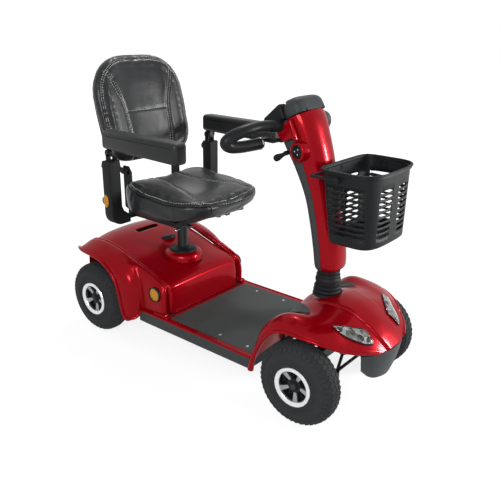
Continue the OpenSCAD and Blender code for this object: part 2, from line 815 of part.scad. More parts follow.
module knuckle(s) {
  y = s * kingpin_y;
  web_y = kingpin_y + boss_r + 2;
  web_t = wheel_y - tyre_w / 2 - 3 - web_y;
  top_z = beam_z + beam_h + 4 + clear;
  color(steel) {
    translate([x_front, y, arm_z]) cylinder(d = kingpin_d, h = top_z + 10 - arm_z);
    hull_free_arm(x_front, y, arm_z);
    translate([x_front, y, top_z]) cylinder(r = boss_r, h = 10);
    translate([x_front - 14, s > 0 ? kingpin_y : -web_y - web_t, top_z])
      cube([28, web_y + web_t - kingpin_y, 10]);
    translate([x_front - 14, s > 0 ? kingpin_y : -web_y - web_t, arm_z])
      cube([28, web_y + web_t - kingpin_y, arm_t]);
    translate([x_front - 14, s > 0 ? web_y : -web_y - web_t, axle_z - 16])
      cube([28, web_t, top_z + 10 - axle_z + 16]);
    bar([x_front, s * (web_y + 1), axle_z], [x_front, s * (wheel_y + 34), axle_z], stub_d / 2);
    translate([pin_x, y, s < 0 ? arm_z - 16 : arm_z])
      cylinder(d = stud_d, h = (s < 0 ? 16 : 0) + arm_t + 16);
  }
}

// A link with an eye at each end, over two studs
module link(a, b) {
  d = b - a;
  color(steel) difference() {
    union() {
      translate(a) cylinder(r = eye_r, h = link_d);
      translate(b) cylinder(r = eye_r, h = link_d);
      bar(a + [0, 0, link_d / 2], b + [0, 0, link_d / 2], link_d / 2 - 1);
    }
    for (p = [a, b]) translate(p - [0, 0, 1]) cylinder(r = stud_d / 2 + run_clear, h = link_d + 2);
  }
}

module tie_rod() {
  z = arm_z + arm_t + clear;
  link([pin_x, -kingpin_y, z], [pin_x, kingpin_y, z]);
}

module drag_link() {
  z = arm_z - clear - link_d;
  link([column_x + arm_l, 0, z], [pin_x, -kingpin_y, z]);
}

// Rubber gaiter around the tilt joint
bellows_z0 = cowl_top_z - 8;
bellows_r0 = 46;
bellows_r1 = 34;
bellows_ribs = 6;

module bellows() {
  h = tiller_z0 - 2 - bellows_z0;
  n = 2 * bellows_ribs;
  outer = [for (i = [0:n]) [lerp(bellows_r0, bellows_r1, i / n) + (i % 2 == 0 ? 0 : -5), i * h / n]];
  color(black) translate([column_x, 0, bellows_z0]) rotate_extrude()
    polygon(concat(outer, [for (p = reversed(outer)) [p[0] - 3, p[1]]]));
}

// Wheels, on the Y axis at the origin, outer face towards -Y
module tyre() {
  r = tyre_d / 2;
  rb = rim_d / 2 - 3;
  hw = tyre_w / 2;
  steps = 14;
  outer = [for (i = [0:steps])
    let (t = 180 * i / steps, c = -cos(t))
    [lerp(rb, r, pow(sin(t), 0.62)), hw * sign(c) * pow(abs(c), 0.7) * (i == 0 || i == steps ? 0.86 : 1)]];
  color(black) rotate([90, 0, 0]) rotate_extrude($fn = 72)
    polygon(concat(outer, [[rb - 6, hw * 0.7], [rb - 6, -hw * 0.7]]));
}

barrel_r = rim_d / 2 - 9.5;
hub_r = 24;

module rim(bore_d) {
  hw = tyre_w / 2 * 0.7 - 0.3;
  face = tyre_w / 2 * 0.86;
  color(silver) rotate([90, 0, 0]) difference() {
    union() {
      rotate_extrude($fn = 72) polygon([
        [barrel_r - 5, -hw], [barrel_r, -hw], [barrel_r, hw], [rim_d / 2 - 3.5, face + 0.5],
          [rim_d / 2, face + 3],
        [rim_d / 2 - 3, face + 5], [barrel_r - 8, face + 1], [barrel_r - 8, face - 8],
          [barrel_r - 5, face - 10]
      ]);
      translate([0, 0, -hw]) cylinder(r = hub_r, h = hw + face - 6);
      for (i = [0:spokes - 1]) rotate(i * 360 / spokes) translate([hub_r - 4, -7, face - 22])
        cube([barrel_r - hub_r + 1.5, 14, 10]);
    }
    translate([0, 0, -hw - 1]) cylinder(d = bore_d, h = 2 * hw + 40);
  }
}

module wheel_at(x, s) {
  translate([x, s * wheel_y, axle_z]) rotate([0, 0, s > 0 ? 180 : 0]) children();
}

module front_rim(s) {
  wheel_at(x_front, s) rim(stub_d + 2 * run_clear);
}

// A rear rim is keyed on its half shaft
module rear_rim(s) {
  wheel_at(x_rear, s) rim(half_shaft_d - 2);
  color(steel) bar([x_rear, s * 42, axle_z], [x_rear, s * (wheel_y + 33), axle_z], half_shaft_d / 2);
}

// Tiller: stations up its middle, each with its place, slope, half width and depths to the front and back
tiller_line = [
  [column_x + 3, tiller_z0, 2, 40, 30, 30],
  [column_x + 2, tiller_z0 + 14, 4, 48, 38, 38],
  [column_x - 6, tiller_z0 + 70, 9, 50, 42, 40],
  [column_x - 24, tiller_z0 + 150, 13, 50, 42, 40],
  [column_x - 46, tiller_z0 + 230, 17, 52, 45, 42],
  [column_x - 74, tiller_z0 + 310, 22, 60, 56, 50],
  [column_x - 104, tiller_z0 + 375, 25, 67, 64, 58],
  [column_x - 122, tiller_z0 + 415, 27, 71, 66, 62],
  [column_x - 132, tiller_z0 + 439, console_slope, 72, 61, 60]
];
seam = 0.6;

// A point of the covers: station s, q from -1 at one side over the face to 1 at the other.
// f is 1 in front and -1 behind.
function tiller_point(s, q, f) =
  let (
    a = q * 90,
    depth = f > 0 ? s[4] : s[5],
    d = f * (seam + depth * pow(cos(a), 0.75)),
    w = s[3] * sign(q) * pow(abs(sin(a)), 0.85)
  )
  [s[0] + d * cos(s[2]), w, s[1] + d * sin(s[2])];

function cover_rows(f) = [
  for (s = tiller_line) [for (q = [-1:0.25:1]) tiller_point(s, f * q, f)]
];

module tiller_front_cover() {
  color(red) difference() {
    panel([for (r = cover_rows(1)) reversed(r)], 20, 16, panel_t);
    translate([column_x - 30, -15, tiller_z0 + 208]) cube([80, 30, 58]);
  }
}

module tiller_rear_cover() {
  color(dark) difference() {
    panel([for (r = cover_rows(-1)) reversed(r)], 20, 16, panel_t);
    translate([bar_x, 120, bar_z]) rotate([90, 0, 0]) cylinder(r = bar_d / 2 + 1, h = 240);
    translate([throttle_x, 120, throttle_z]) rotate([90, 0, 0]) cylinder(r = 6.5, h = 240);
  }
}

// The mast: a lug on the tilt pin, a straight tube up to the head and a bracket for the basket
module tiller_mast() {
  color(steel) {
    difference() {
      translate([column_x - 13, -13, tilt_z - 13]) cube([26, 26, 50]);
      translate([column_x, 30, tilt_z]) rotate([90, 0, 0]) cylinder(d = tilt_pin_d, h = 60);
    }
    translate([column_x, 25, tilt_z]) rotate([90, 0, 0]) cylinder(d = tilt_pin_d, h = 50);
    bar([column_x + 2, 0, tilt_z + 30], [column_x - 112, 0, tiller_z0 + 404], mast_d / 2);
    difference() {
      translate([throttle_x - 11, -12, throttle_z - 11]) cube([50, 24, 22]);
      translate([throttle_x, 30, throttle_z]) rotate([90, 0, 0]) cylinder(r = 5 + run_clear, h = 60);
    }
    on_console() translate([-62, -30, console_low - 8]) cube([56, 60, 8]);
    on_console() translate([-62, -11, console_low - 56]) cube([24, 22, 52]);
    for (y = [-13, 5]) translate([column_x - 70, y, tiller_z0 + 212])
      cube([basket_x - column_x + 64, 8, 50]);
    translate([basket_x - 8, -44, tiller_z0 + 186]) cube([5, 88, 96]);
  }
}

// Console: a wedge on the head, sloping down towards the rider
console_front = [column_x - 107, tiller_z0 + 501];
console_low = -39.7;

module on_console() {
  translate([console_front[0], 0, console_front[1]]) rotate([0, -console_slope, 0]) children();
}

module console() {
  color(dark) on_console() difference() {
    loft([
      for (s = [[8, 44, -12], [4, 60, -4], [-8, 69, 2], [-30, 0, 5], [-60, -1, 3], [-95, 68, -2],
        [-console_l + 15, 64, -6],
        [-console_l + 4, 60, -10], [-console_l, 54, -16]])
        [for (i = [0:20])
          let (t = 9 * i, c = cos(t), h = s[1] > 0 ? s[1] : console_w / 2 + s[1])
          [s[0], h * sign(c) * pow(abs(c), 0.62), console_low + (s[2] - console_low) * pow(sin(t), 0.62)]]
    ]);
    for (b = button_places) translate([b[0], b[1], -16]) cylinder(r = button_r + clear, h = 40);
    translate([dial_place[0], dial_place[1], -16]) cylinder(r = dial_stem_r + run_clear, h = 40);
    translate([key_place[0], key_place[1], -26]) cylinder(r = key_r + run_clear, h = 50);
  }
}

button_r = 8;
button_places = [[-100, 36, 0], [-100, -36, 0]];
dial_place = [-66, 0];
dial_stem_r = 5;
key_place = [-112, 0];
key_r = 4;

module button(i) {
  color(black) on_console() translate([button_places[i][0], button_places[i][1], -12]) {
    cylinder(r = button_r, h = 12);
    translate([0, 0, 12]) cylinder(r1 = button_r, r2 = button_r - 1.5, h = 1.5);
  }
}

module horn_button() {
  button(0);
}

module light_button() {
  button(1);
}

module speed_dial() {
  color(black) on_console() translate([dial_place[0], dial_place[1], -12]) {
    cylinder(r = dial_stem_r, h = 18);
    translate([0, 0, 17]) cylinder(r = 15, h = 10);
    translate([0, 0, 27]) cylinder(r1 = 15, r2 = 13, h = 2);
    translate([-1.5, 4, 29]) cube([3, 8, 1]);
  }
}

module ignition_key() {
  color(silver) on_console() translate([key_place[0], key_place[1], -22]) {
    cylinder(r = key_r, h = 21.5);
    translate([-1.25, -8, 20.5]) cube([2.5, 16, 20.5]);
  }
}

// Handlebar: a bar through the head, then a padded loop on each side, open at its inner lower end
bar_x = column_x - 148;
bar_z = tiller_z0 + 420;
bar_y = bar_w / 2 - grip_d / 2;

function loop_points(s) = [for (p = [
  [0, 78, 0], [-1, 92, 1], [-12, 116, 3], [-24, 150, 3], [-32, 196, -2], [-45, bar_y - 18, -14],
    [-54, bar_y, -30],
  [-52, bar_y - 14, -43], [-43, 206, -47], [-33, 168, -46], [-27, 140, -45]
]) [bar_x + p[0], s * p[1], bar_z + p[2]]];

module handlebar() {
  color(black) translate([bar_x, 77, bar_z]) rotate([90, 0, 0]) cylinder(d = bar_d, h = 154);
}

module grips() {
  color(black) for (s = [-1, 1]) {
    p = loop_points(s);
    swept([for (i = [0:22]) along(p, i / 22)], grip_d / 2, 12);
  }
}

// Throttle: a paddle on each side of the head, on one cross shaft
throttle_x = column_x - 141;
throttle_z = tiller_z0 + 381;

module throttle_lever() {
  color(black) translate([throttle_x, 0, throttle_z]) {
    translate([0, 84, 0]) rotate([90, 0, 0]) cylinder(r = 5, h = 168);
    for (s = [-1, 1]) mirror([0, s < 0 ? 1 : 0, 0]) {
      translate([-12, 76, -5]) cube([18, 10, 10]);
      translate([-58, 82, -4]) cube([52, 12, 8]);
      translate([-62, 86, -4]) cube([26, 38, 8]);
    }
  }
}

// Charging socket in a round boss on the right side of the tiller
socket_place = [column_x - 82, -70, tiller_z0 + 356];

module charge_socket() {
  color(black) translate(socket_place) rotate([90, 0, -10]) difference() {
    union() {
      cylinder(r = 26, h = 14);
      translate([0, 0, 14]) cylinder(r = 19, h = 6);
    }
    for (i = [0:2]) rotate(i * 120) translate([8, 0, 12]) cylinder(r = 2.5, h = 10);
  }
}

tilt_lever_place = [column_x - 131, -66.5, tiller_z0 + 344];

module tilt_lever() {
  color(black) translate(tilt_lever_place) rotate([0, -30, 0]) {
    rotate([90, 0, 0]) translate([0, 0, -6]) cylinder(r = 7, h = 12);
    translate([-34, -4, -4]) cube([32, 8, 8]);
    translate([-34, 0, 0]) rotate([0, -90, 0]) cylinder(r1 = 6, r2 = 9, h = 20);
  }
}

// Basket: a tapered tub with slots, on a bracket in front of the tiller
tub_taper_x = 20;
tub_taper_y = 15;

function tub_ring(z, off) =
  let (
    k = (basket_z - z) / basket_h,
    x0 = basket_x + k * tub_taper_x + off,
    x1 = basket_x + basket_l - k * 2 - off,
    hw = basket_w / 2 - k * tub_taper_y - off
  )
  [for (p = squircle((x1 - x0) / 2, hw, 7, 32)) [(x0 + x1) / 2 + p[0], p[1], z]];

handle_x = basket_x + 66;
handle_z = basket_z - 22;
handle_pin_r = 4;
slot_rows = 8;
slot_pitch = 17;

module basket() {
  color(black) {
    difference() {
      union() {
        basket_tub();
        for (s = [0, 1]) mirror([0, s, 0]) translate([handle_x, basket_w / 2 - 8, handle_z])
          rotate([-90, 0, 0]) cylinder(r = 10, h = 8);
      }
      translate([handle_x, basket_w, handle_z]) rotate([90, 0, 0])
        cylinder(r = handle_pin_r + run_clear, h = 2 * basket_w);
    }
    basket_hook();
  }
}

// A hook over the top edge of the mast's bracket plate
module basket_hook() {
  z = tiller_z0 + 282.2;
  translate([basket_x - 13.6, -32, z]) cube([22.6, 64, 6]);
  translate([basket_x - 13.6, -32, z - 14]) cube([5.2, 64, 15]);
}

module basket_tub() {
  z0 = basket_z - basket_h;
  difference() {
    loft([tub_ring(z0, 8), tub_ring(z0 + 8, 0), tub_ring(basket_z - 12, 0), tub_ring(basket_z - 12, -4),
      tub_ring(basket_z, -4)]);
    loft([tub_ring(z0 + basket_t, 8 + basket_t), tub_ring(z0 + 10, basket_t),
      tub_ring(basket_z - 10, basket_t), tub_ring(basket_z + 1, basket_t)]);
    for (i = [0:slot_rows - 1]) translate([0, 0, z0 + 34 + i * slot_pitch]) {
      translate([basket_x + 36, -basket_w, 0]) cube([52, 2 * basket_w, 9]);
      translate([basket_x + 100, -basket_w, 0]) cube([40, 2 * basket_w, 9]);
      for (y = [-88, 12]) translate([basket_x + basket_l - 40, y, 0]) cube([80, 76, 9]);
    }
  }
}

handle_r = 4;

module basket_handle() {
  y = basket_w / 2 + 9;
  z = handle_z;
  x = basket_x - 13;
  color(black) {
    for (s = [-1, 1]) {
      translate([handle_x, s * y, z]) rotate([90, 0, 0]) translate([0, 0, -3]) cylinder(r = 9, h = 6);
      bar([handle_x, s * y, z], [x, s * y, z], handle_r);
      bar([handle_x, s * y, z], [handle_x, s * (basket_w / 2 - 7), z], handle_pin_r);
      translate([x, s * y, z]) sphere(r = handle_r);
    }
    bar([x, -y, z], [x, y, z], handle_r);
  }
}

// Seat
post_top = 430;

module seat_post() {
  color(black) {
    translate([post_x, 0, rail_z + 60]) cylinder(d = post_d, h = post_top - rail_z - 60);
    translate([post_x, 0, post_top - 26]) cylinder(r = post_d / 2 + 5, h = 14);
    translate([post_x, -post_d / 2 - 14, post_top - 42]) rotate([-90, 0, 0]) cylinder(d = 14, h = 16);
  }
}

plate_t = 6;
rail_x = -318;
rail_len = 190;

lever_pin_r = 5;

module swivel_plate() {
  color(black) difference() {
    swivel_body();
    translate([post_x + 90, 96, post_top]) cylinder(r = lever_pin_r + run_clear, h = 60);
  }
}

module swivel_body() {
  union() {
    translate([post_x, 0, post_top + clear]) cylinder(r = 44, h = 8);
    translate([rail_x, -110, post_top + clear + 8]) cube([150, 220, plate_t]);
    for (s = [-1, 1]) translate([rail_x, s * 96 - 9, post_top + clear + 8 + plate_t])
      cube([rail_len, 18, 7]);
  }
}

slide_z = post_top + 8 + plate_t + 7 + 2 * clear;

module swivel_lever() {
  color(black) translate([post_x + 90, 0, post_top - 2]) {
    translate([0, 96, 0]) cylinder(r = 9, h = 8);
    translate([0, 96, 7]) cylinder(r = lever_pin_r, h = clear + 3 + plate_t);
    translate([-5, 96, 2]) cube([10, 110, 5]);
    translate([0, 206, 0]) rotate([-90, 0, 0]) translate([0, -4.5, 0]) cylinder(r1 = 5, r2 = 8, h = 26);
  }
}

leg_w = 26;
leg_h = 12;
leg_z = slide_z + 2.5;
hinge_x = seat_back - 30;

module seat_frame() {
  h = seat_z - clear - slide_z;
  color(black) {
    difference() {
      translate([seat_back + 6, -150, slide_z]) cube([seat_l - 124, 300, h]);
      translate([arm_x - leg_w / 2 - clear, -160, leg_z - clear])
        cube([leg_w + 2 * clear, 320, leg_h + 2 * clear]);
    }
    for (s = [-1, 1]) difference() {
      side_plate([
        [seat_back + 26, slide_z], [seat_back + 26, slide_z + h], [seat_back - 6, slide_z + h],
        [seat_back - 6, back_hinge_z - 6], [seat_back - 20, back_hinge_z + 14],
        [hinge_x - 14, back_hinge_z + 14], [hinge_x - 14, slide_z + 12], [seat_back - 10, slide_z]
      ], s * 118, 8);
      translate([hinge_x, s * 118 + 10, back_hinge_z]) rotate([90, 0, 0])
        cylinder(r = 5 + run_clear, h = 20);
    }
  }
}

// A level of the cushion: drawn in by k, at height z, lift is how far it follows the top's tilt
function seat_ring(k, z, lift) =
  let (hl = seat_l / 2, c = seat_front - hl)
  [for (p = squircle(hl - k, seat_hw - k, 5, 40))
    let (u = p[0] / hl, v = p[1] / seat_hw)
    [c + p[0], p[1] * (1 - 0.04 * u * u),
      z + lift * (6 * (1 - u) * v * v - 11 * u) + (1 - lift) * 30 * max(0, u)]];

module seat_cushion() {
  color(leather) loft([
    seat_ring(40, seat_z, 0), seat_ring(16, seat_z + 5, 0), seat_ring(5, seat_z + 26, 0.2),
      seat_ring(0, seat_z + 50, 0.6),
    seat_ring(0, seat_top - 14, 1), seat_ring(5, seat_top - 4, 1), seat_ring(20, seat_top + 3, 1),
      seat_ring(40, seat_top + 4, 1),
    seat_ring(45, seat_top + 1, 1), seat_ring(50, seat_top + 5, 1), seat_ring(90, seat_top + 9, 1),
      seat_ring(140, seat_top + 9, 1)
  ]);
}

// Backrest, upright in its own frame: x from its front face, z from its lower edge
back_x = seat_back - 6;
back_z = 626;
back_t = 46;

module on_back() {
  translate([back_x, 0, back_z]) rotate([0, -back_lean, 0]) children();
}

// Outline of the back, with arched top corners and squarer ones below
function back_ring(k, x) = [
  for (i = [0:39])
    let (p = squircle(back_w / 2 - k, back_h / 2 - k, i < 20 ? 3.4 : 5, 40)[i],
      u = p[1] / (back_h / 2), w = u > 0 ? 1 - 0.16 * u * u * u : 1 - 0.04 * u * u,
      v = p[0] / (back_w / 2))
    [x + 18 * v * v, p[0] * w, back_h / 2 + p[1]]
];

module back_cushion() {
  color(leather) on_back() loft([
    back_ring(14, -back_t), back_ring(2, -back_t + 8), back_ring(0, -20), back_ring(4, -8),
      back_ring(20, 0), back_ring(48, 1),
    back_ring(53, -2), back_ring(58, 2), back_ring(100, 5), back_ring(150, 5)
  ]);
}

shell_t = 14;

module back_shell() {
  color(black) {
    on_back() loft([
      for (s = [[60, -back_t - shell_t - 3], [26, -back_t - shell_t], [14, -back_t - 8],
        [14, -back_t - clear]]) back_ring(s[0], s[1])
    ]);
    for (s = [-1, 1]) {
      difference() {
        side_plate([
          [hinge_x - 10, back_hinge_z - 13], [hinge_x + 13, back_hinge_z - 13],
            [hinge_x + 13, back_hinge_z + 8],
          [back_x - back_t - 3, back_hinge_z + 8], [back_x - back_t - 15, back_z + 38],
            [back_x - back_t - 28, back_z + 38],
          [back_x - back_t - 16, back_hinge_z + 2]
        ], s * 127.5, 9);
        translate([hinge_x, s * 127.5 + 10, back_hinge_z]) rotate([90, 0, 0]) cylinder(r = 5, h = 20);
      }
      translate([hinge_x, s * 123 + 11, back_hinge_z]) rotate([90, 0, 0]) cylinder(r = 5, h = 22);
    }
  }
}

// Armrests
arm_x = pad_x + 18;
upright_w = 46;
upright_l = 42;
upright_top = pad_z - pad_h - 14;
flip_pin_d = 10;

elbow_r = 42;

// Outline of an upright seen from the front: a column that bends in under the seat
function upright_outline() =
  let (z0 = leg_z - 10, y0 = pad_y - upright_w)
  concat(
    [[y0 - 34, leg_z + leg_h + 4], [y0 - 34, z0]],
    [for (i = [0:8]) [pad_y - elbow_r + elbow_r * sin(i * 11.25), z0 + elbow_r - elbow_r * cos(i * 11.25)]],
    [[pad_y, upright_top - 26], [y0, upright_top - 26], [y0, z0 + 62], [y0 - 8, z0 + 46]]
  );

module armrest_upright(s) {
  y_pin = pad_y - pad_w / 2;
  color(black) mirror([0, s < 0 ? 1 : 0, 0]) difference() {
    union() {
      translate([arm_x + upright_l / 2, 0, 0]) rotate([90, 0, -90]) mirror([1, 0, 0])
        linear_extrude(upright_l)
        polygon(upright_outline());
      translate([arm_x - leg_w / 2, 24, leg_z]) cube([leg_w, pad_y - upright_w - 54, leg_h]);
      for (y = [y_pin - 17, y_pin + 9]) translate([arm_x, y, upright_top]) {
        translate([-9, 0, -30]) cube([18, 8, 30]);
        rotate([-90, 0, 0]) cylinder(r = 12, h = 8);
      }
      translate([arm_x - 12, pad_y - 1, slide_z + 78]) rotate([-90, 0, 0]) cylinder(r = 15, h = 3);
      translate([arm_x - upright_l / 2 - 16, pad_y - 24, upright_top - 48]) rotate([0, 90, 0])
        cylinder(r = 14, h = 18);
    }
    translate([arm_x, pad_y + 20, upright_top]) rotate([90, 0, 0])
      cylinder(r = flip_pin_d / 2 + run_clear, h = 100);
  }
}

module armrest_pad(s) {
  y = pad_y - pad_w / 2;
  color(leather) mirror([0, s < 0 ? 1 : 0, 0]) {
    translate([pad_x + pad_l / 2, y, pad_z - pad_h]) rounded_box(pad_l, pad_w, pad_h, 14);
    translate([arm_x - 12, y - 8, upright_top - 12]) cube([24, 16, 26]);
    translate([arm_x, y + 20, upright_top]) rotate([90, 0, 0]) cylinder(d = flip_pin_d, h = 40);
  }
}

main_frame();
deck_pan();
deck_trim();
deck_mat();
mat_screws();
at_rear() rear_hood();
at_rear() left_side() rear_fender();  // rear_fender_right
at_rear() right_side() rear_fender();  // rear_fender_left
at_rear() seat_collar();
at_rear() side_reflectors();
at_rear() rear_bumper();
at_rear() tail_lamps();
at_rear() batteries();
at_rear() controller();
at_rear() transaxle();
at_rear() drive_motor();
at_front() front_cowl();
at_front() headlamps();
at_front() front_bumper();
at_rear() freewheel_lever();
at_front() steering_shaft();
at_front() bellows();
at_front() knuckle(-1);  // knuckle_right
at_front() knuckle(1);  // knuckle_left
at_front() tie_rod();
at_front() drag_link();
at_rear() wheel_at(x_rear, -1) tyre();  // tyre_rear_right
at_rear() wheel_at(x_rear, 1) tyre();  // tyre_rear_left
at_front() wheel_at(x_front, -1) tyre();  // tyre_front_right
at_front() wheel_at(x_front, 1) tyre();  // tyre_front_left
at_rear() rear_rim(-1);  // rim_rear_right
at_rear() rear_rim(1);  // rim_rear_left
at_front() front_rim(-1);  // rim_front_right
at_front() front_rim(1);  // rim_front_left
at_front() tiller_mast();
at_front() tiller_front_cover();
at_front() tiller_rear_cover();
at_front() console();
at_front() handlebar();
at_front() grips();
at_front() charge_socket();
at_front() tilt_lever();
at_front() throttle_lever();
at_front() speed_dial();
at_front() ignition_key();
at_front() horn_button();
at_front() light_button();
at_front() basket();
at_front() basket_handle();
at_rear() seat_post();
at_rear() swivel_plate();
at_rear() swivel_lever();
at_rear() seat_frame();
at_rear() seat_cushion();
at_rear() back_cushion();
at_rear() back_shell();
at_rear() armrest_upright(-1);  // armrest_upright_right
at_rear() armrest_upright(1);  // armrest_upright_left
at_rear() armrest_pad(-1);  // armrest_pad_right
at_rear() armrest_pad(1);  // armrest_pad_left
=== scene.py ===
from math import atan, copysign, cos, exp, pi, radians, sin, sqrt, tau
from types import SimpleNamespace

import bmesh
import bpy
from mathutils import Matrix, Vector
from mathutils.bvhtree import BVHTree
from mathutils.kdtree import KDTree


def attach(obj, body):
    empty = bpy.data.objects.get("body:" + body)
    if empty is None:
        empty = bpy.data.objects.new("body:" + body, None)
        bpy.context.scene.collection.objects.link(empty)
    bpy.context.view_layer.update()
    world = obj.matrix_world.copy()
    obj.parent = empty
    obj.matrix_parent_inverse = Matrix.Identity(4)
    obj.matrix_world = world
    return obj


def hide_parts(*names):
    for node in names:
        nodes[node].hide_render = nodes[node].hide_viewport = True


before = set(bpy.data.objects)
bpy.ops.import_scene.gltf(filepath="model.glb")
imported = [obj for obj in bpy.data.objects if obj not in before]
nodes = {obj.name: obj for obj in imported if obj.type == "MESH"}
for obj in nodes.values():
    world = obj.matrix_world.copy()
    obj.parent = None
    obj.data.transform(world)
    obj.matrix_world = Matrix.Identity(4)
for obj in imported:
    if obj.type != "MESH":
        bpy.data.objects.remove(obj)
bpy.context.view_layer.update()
mm = 0.001
print("frame loaded with", len(nodes), "nodes")


def addObject(name, data):
    holder = bpy.data.objects.new(name, data)
    bpy.context.scene.collection.objects.link(holder)
    return holder


# camera at the photograph's angle
shot = {"turn": 38.98, "rise": 22.68, "roll": 1.01, "place": (1.2706, -1.5319, 1.1237), "lens": 44.56,
        "shift": (0.0102, 0.0417), "sensor": 36, "reach": 50}


def setCamera():
    turn, rise, roll = (radians(shot[key]) for key in ("turn", "rise", "roll"))
    back = Vector((sin(turn) * cos(rise), -cos(turn) * cos(rise), sin(rise)))
    right = Vector((cos(turn), sin(turn), 0))
    up = back.cross(right)
    right, up = right * cos(roll) + up * sin(roll), up * cos(roll) - right * sin(roll)
    data = bpy.data.cameras.new("photoCamera")
    data.lens, data.sensor_width, data.clip_end = shot["lens"], shot["sensor"], shot["reach"]
    data.shift_x, data.shift_y = shot["shift"]
    holder = addObject("photoCamera", data)
    facing = Matrix((right, up, back)).transposed().to_4x4()
    holder.matrix_world = Matrix.Translation(Vector(shot["place"])) @ facing
    bpy.context.scene.camera = holder


setCamera()
print("camera set")


# small helpers for materials
def hexColour(code, alpha=1.0):
    channels = [int(code[i:i + 2], 16) / 255 for i in (1, 3, 5)]
    linear = [c / 12.92 if c <= 0.04045 else ((c + 0.055) / 1.055) ** 2.4 for c in channels]
    return (*linear, alpha)


def addNode(tree, kind, settings=None, links=None):
    node = tree.nodes.new("ShaderNode" + kind)
    for key, value in (settings or {}).items():
        if key in node.inputs:
            node.inputs[key].default_value = value
        else:
            setattr(node, key, value)
    for key, socket in (links or {}).items():
        tree.links.new(socket, node.inputs[key])
    return node.outputs


# a new material with helpers: patterns in object space, and the colour, gloss and relief that they drive
def startMaterial(name, shaderSettings):
    material = bpy.data.materials.new(name)
    material.use_nodes = True
    tree = material.node_tree
    shader = tree.nodes["Principled BSDF"]
    for key, value in shaderSettings.items():
        shader.inputs[key].default_value = value
    place = addNode(tree, "TexCoord")["Object"]

    def pattern(kind, sizeMm, **settings):
        return addNode(tree, "Tex" + kind, {"Scale": 1000 / sizeMm, **settings}, {"Vector": place})

    def spread(factor, low, high):
        return addNode(tree, "MapRange", {"To Min": low, "To Max": high}, {"Value": factor})["Result"]

    def tint(tones, factor):
        pair = {"Color1": hexColour(tones[0]), "Color2": hexColour(tones[1])}
        tree.links.new(addNode(tree, "MixRGB", pair, {"Fac": factor})["Color"], shader.inputs["Base Color"])

    def gloss(factor, low, high):
        tree.links.new(spread(factor, low, high), shader.inputs["Roughness"])

    def relief(height, strength, liftMm, socket="Normal", invert=False, under=None):
        links = {"Height": height, "Normal": under} if under else {"Height": height}
        bump = addNode(tree, "Bump", {"Strength": strength, "Distance": liftMm * mm, "invert": invert}, links)
        tree.links.new(bump["Normal"], shader.inputs[socket])
        return bump["Normal"]

    return SimpleNamespace(material=material, pattern=pattern, spread=spread,
                           tint=tint, gloss=gloss, relief=relief)


# each of these gives a material and the slot it goes by
# one moulded or painted finish: two tones in soft patches, a grain that lifts the surface,
# a roughness that wanders
def makeFinish(name, slotName, tones, patchMm, grainMm, liftMm, roughness, **shaderSettings):
    gleam = 0.5 if "Metallic" in shaderSettings else 0.12
    mix = startMaterial(name, {"Specular IOR Level": gleam, **shaderSettings})
    patch = mix.pattern("Noise", patchMm, Detail=3.0, Roughness=0.6)["Fac"]
    mix.tint(tones, patch)
    mix.relief(mix.pattern("Noise", grainMm, Detail=2.0)["Fac"], 0.6, liftMm)
    mix.gloss(patch, *roughness)
    return mix.material, slotName


# metallic lacquer on moulded ABS: flakes glint in a deep red base under a clear coat
def makeCandyRed():
    mix = startMaterial("lacqueredABS", {"Metallic": 0.35, "Roughness": 0.28, "Specular IOR Level": 0.03,
                                         "Coat Weight": 0.14, "Coat Roughness": 0.1, "Coat IOR": 1.5})
    flake = mix.pattern("Voronoi", 1.2)  # larger than real flakes, so that they show
    mix.tint(("#82000c", "#a40416"), mix.spread(flake["Color"], 0.0, 0.5))
    mix.relief(mix.pattern("Noise", 9.0, Detail=1.0)["Fac"], 0.04, 0.3, "Coat Normal")
    return mix.material, "body_red"


# embossed vinyl over foam: small round pebbles, a soft sheen, and painted shade that darkens the valleys of
# its broad creases
def makeLeatherette(name, slotName, tones, pebbleMm, liftMm, roughness):
    mix = startMaterial(name, {"Specular IOR Level": 0.26, "Sheen Weight": 0.03})
    pebble = mix.pattern("Voronoi", pebbleMm, feature="SMOOTH_F1", Smoothness=0.4)
    creaseShade = mix.pattern("Noise", 28, Detail=4.0, Distortion=0.6)["Fac"]
    # the darker tone lies where the creases sink: painted shade
    mix.tint(tones, creaseShade)
    fine = mix.relief(pebble["Distance"], 0.5, liftMm, invert=True)
    mix.relief(creaseShade, 0.35, 1.2, under=fine)
    mix.gloss(creaseShade, *roughness)
    return mix.material, slotName


# calendered rubber floor mat: rows of tiny studs every 5 mm
def makeMatRubber():
    mix = startMaterial("studdedRubber", {"Specular IOR Level": 0.18})
    stud = mix.pattern("Voronoi", 5, Randomness=0.0)
    scuff = mix.pattern("Noise", 70, Detail=5.0)["Fac"]
    mix.tint(("#3a3e3d", "#484d4c"), scuff)
    mix.relief(stud["Distance"], 0.35, 0.5, invert=True)
    mix.gloss(scuff, 0.55, 0.8)
    return mix.material, "rubber"


# moulded prism lens: a fine grid of cells under a glossy skin
def makeLens(name, slotName, tones, cellMm):
    skin = {"Roughness": 0.14, "Coat Weight": 0.15, "Coat Roughness": 0.03, "Specular IOR Level": 0.2}
    mix = startMaterial(name, skin)
    cell = mix.pattern("Voronoi", cellMm, Randomness=0.15)["Distance"]
    mix.tint(tones, cell)
    mix.relief(cell, 0.5, 0.6)
    return mix.material, slotName


# polycarbonate headlamp cover: clear, thin, glossy, with a faint haze
def makeClearLens():
    clear = {"Transmission Weight": 1.0, "IOR": 1.2, "Base Color": hexColour("#f4f7f8")}
    mix = startMaterial("clearPolycarbonate", clear)
    mix.gloss(mix.pattern("Noise", 40, Detail=2.0)["Fac"], 0.0, 0.06)
    return mix.material, "clear_lens"
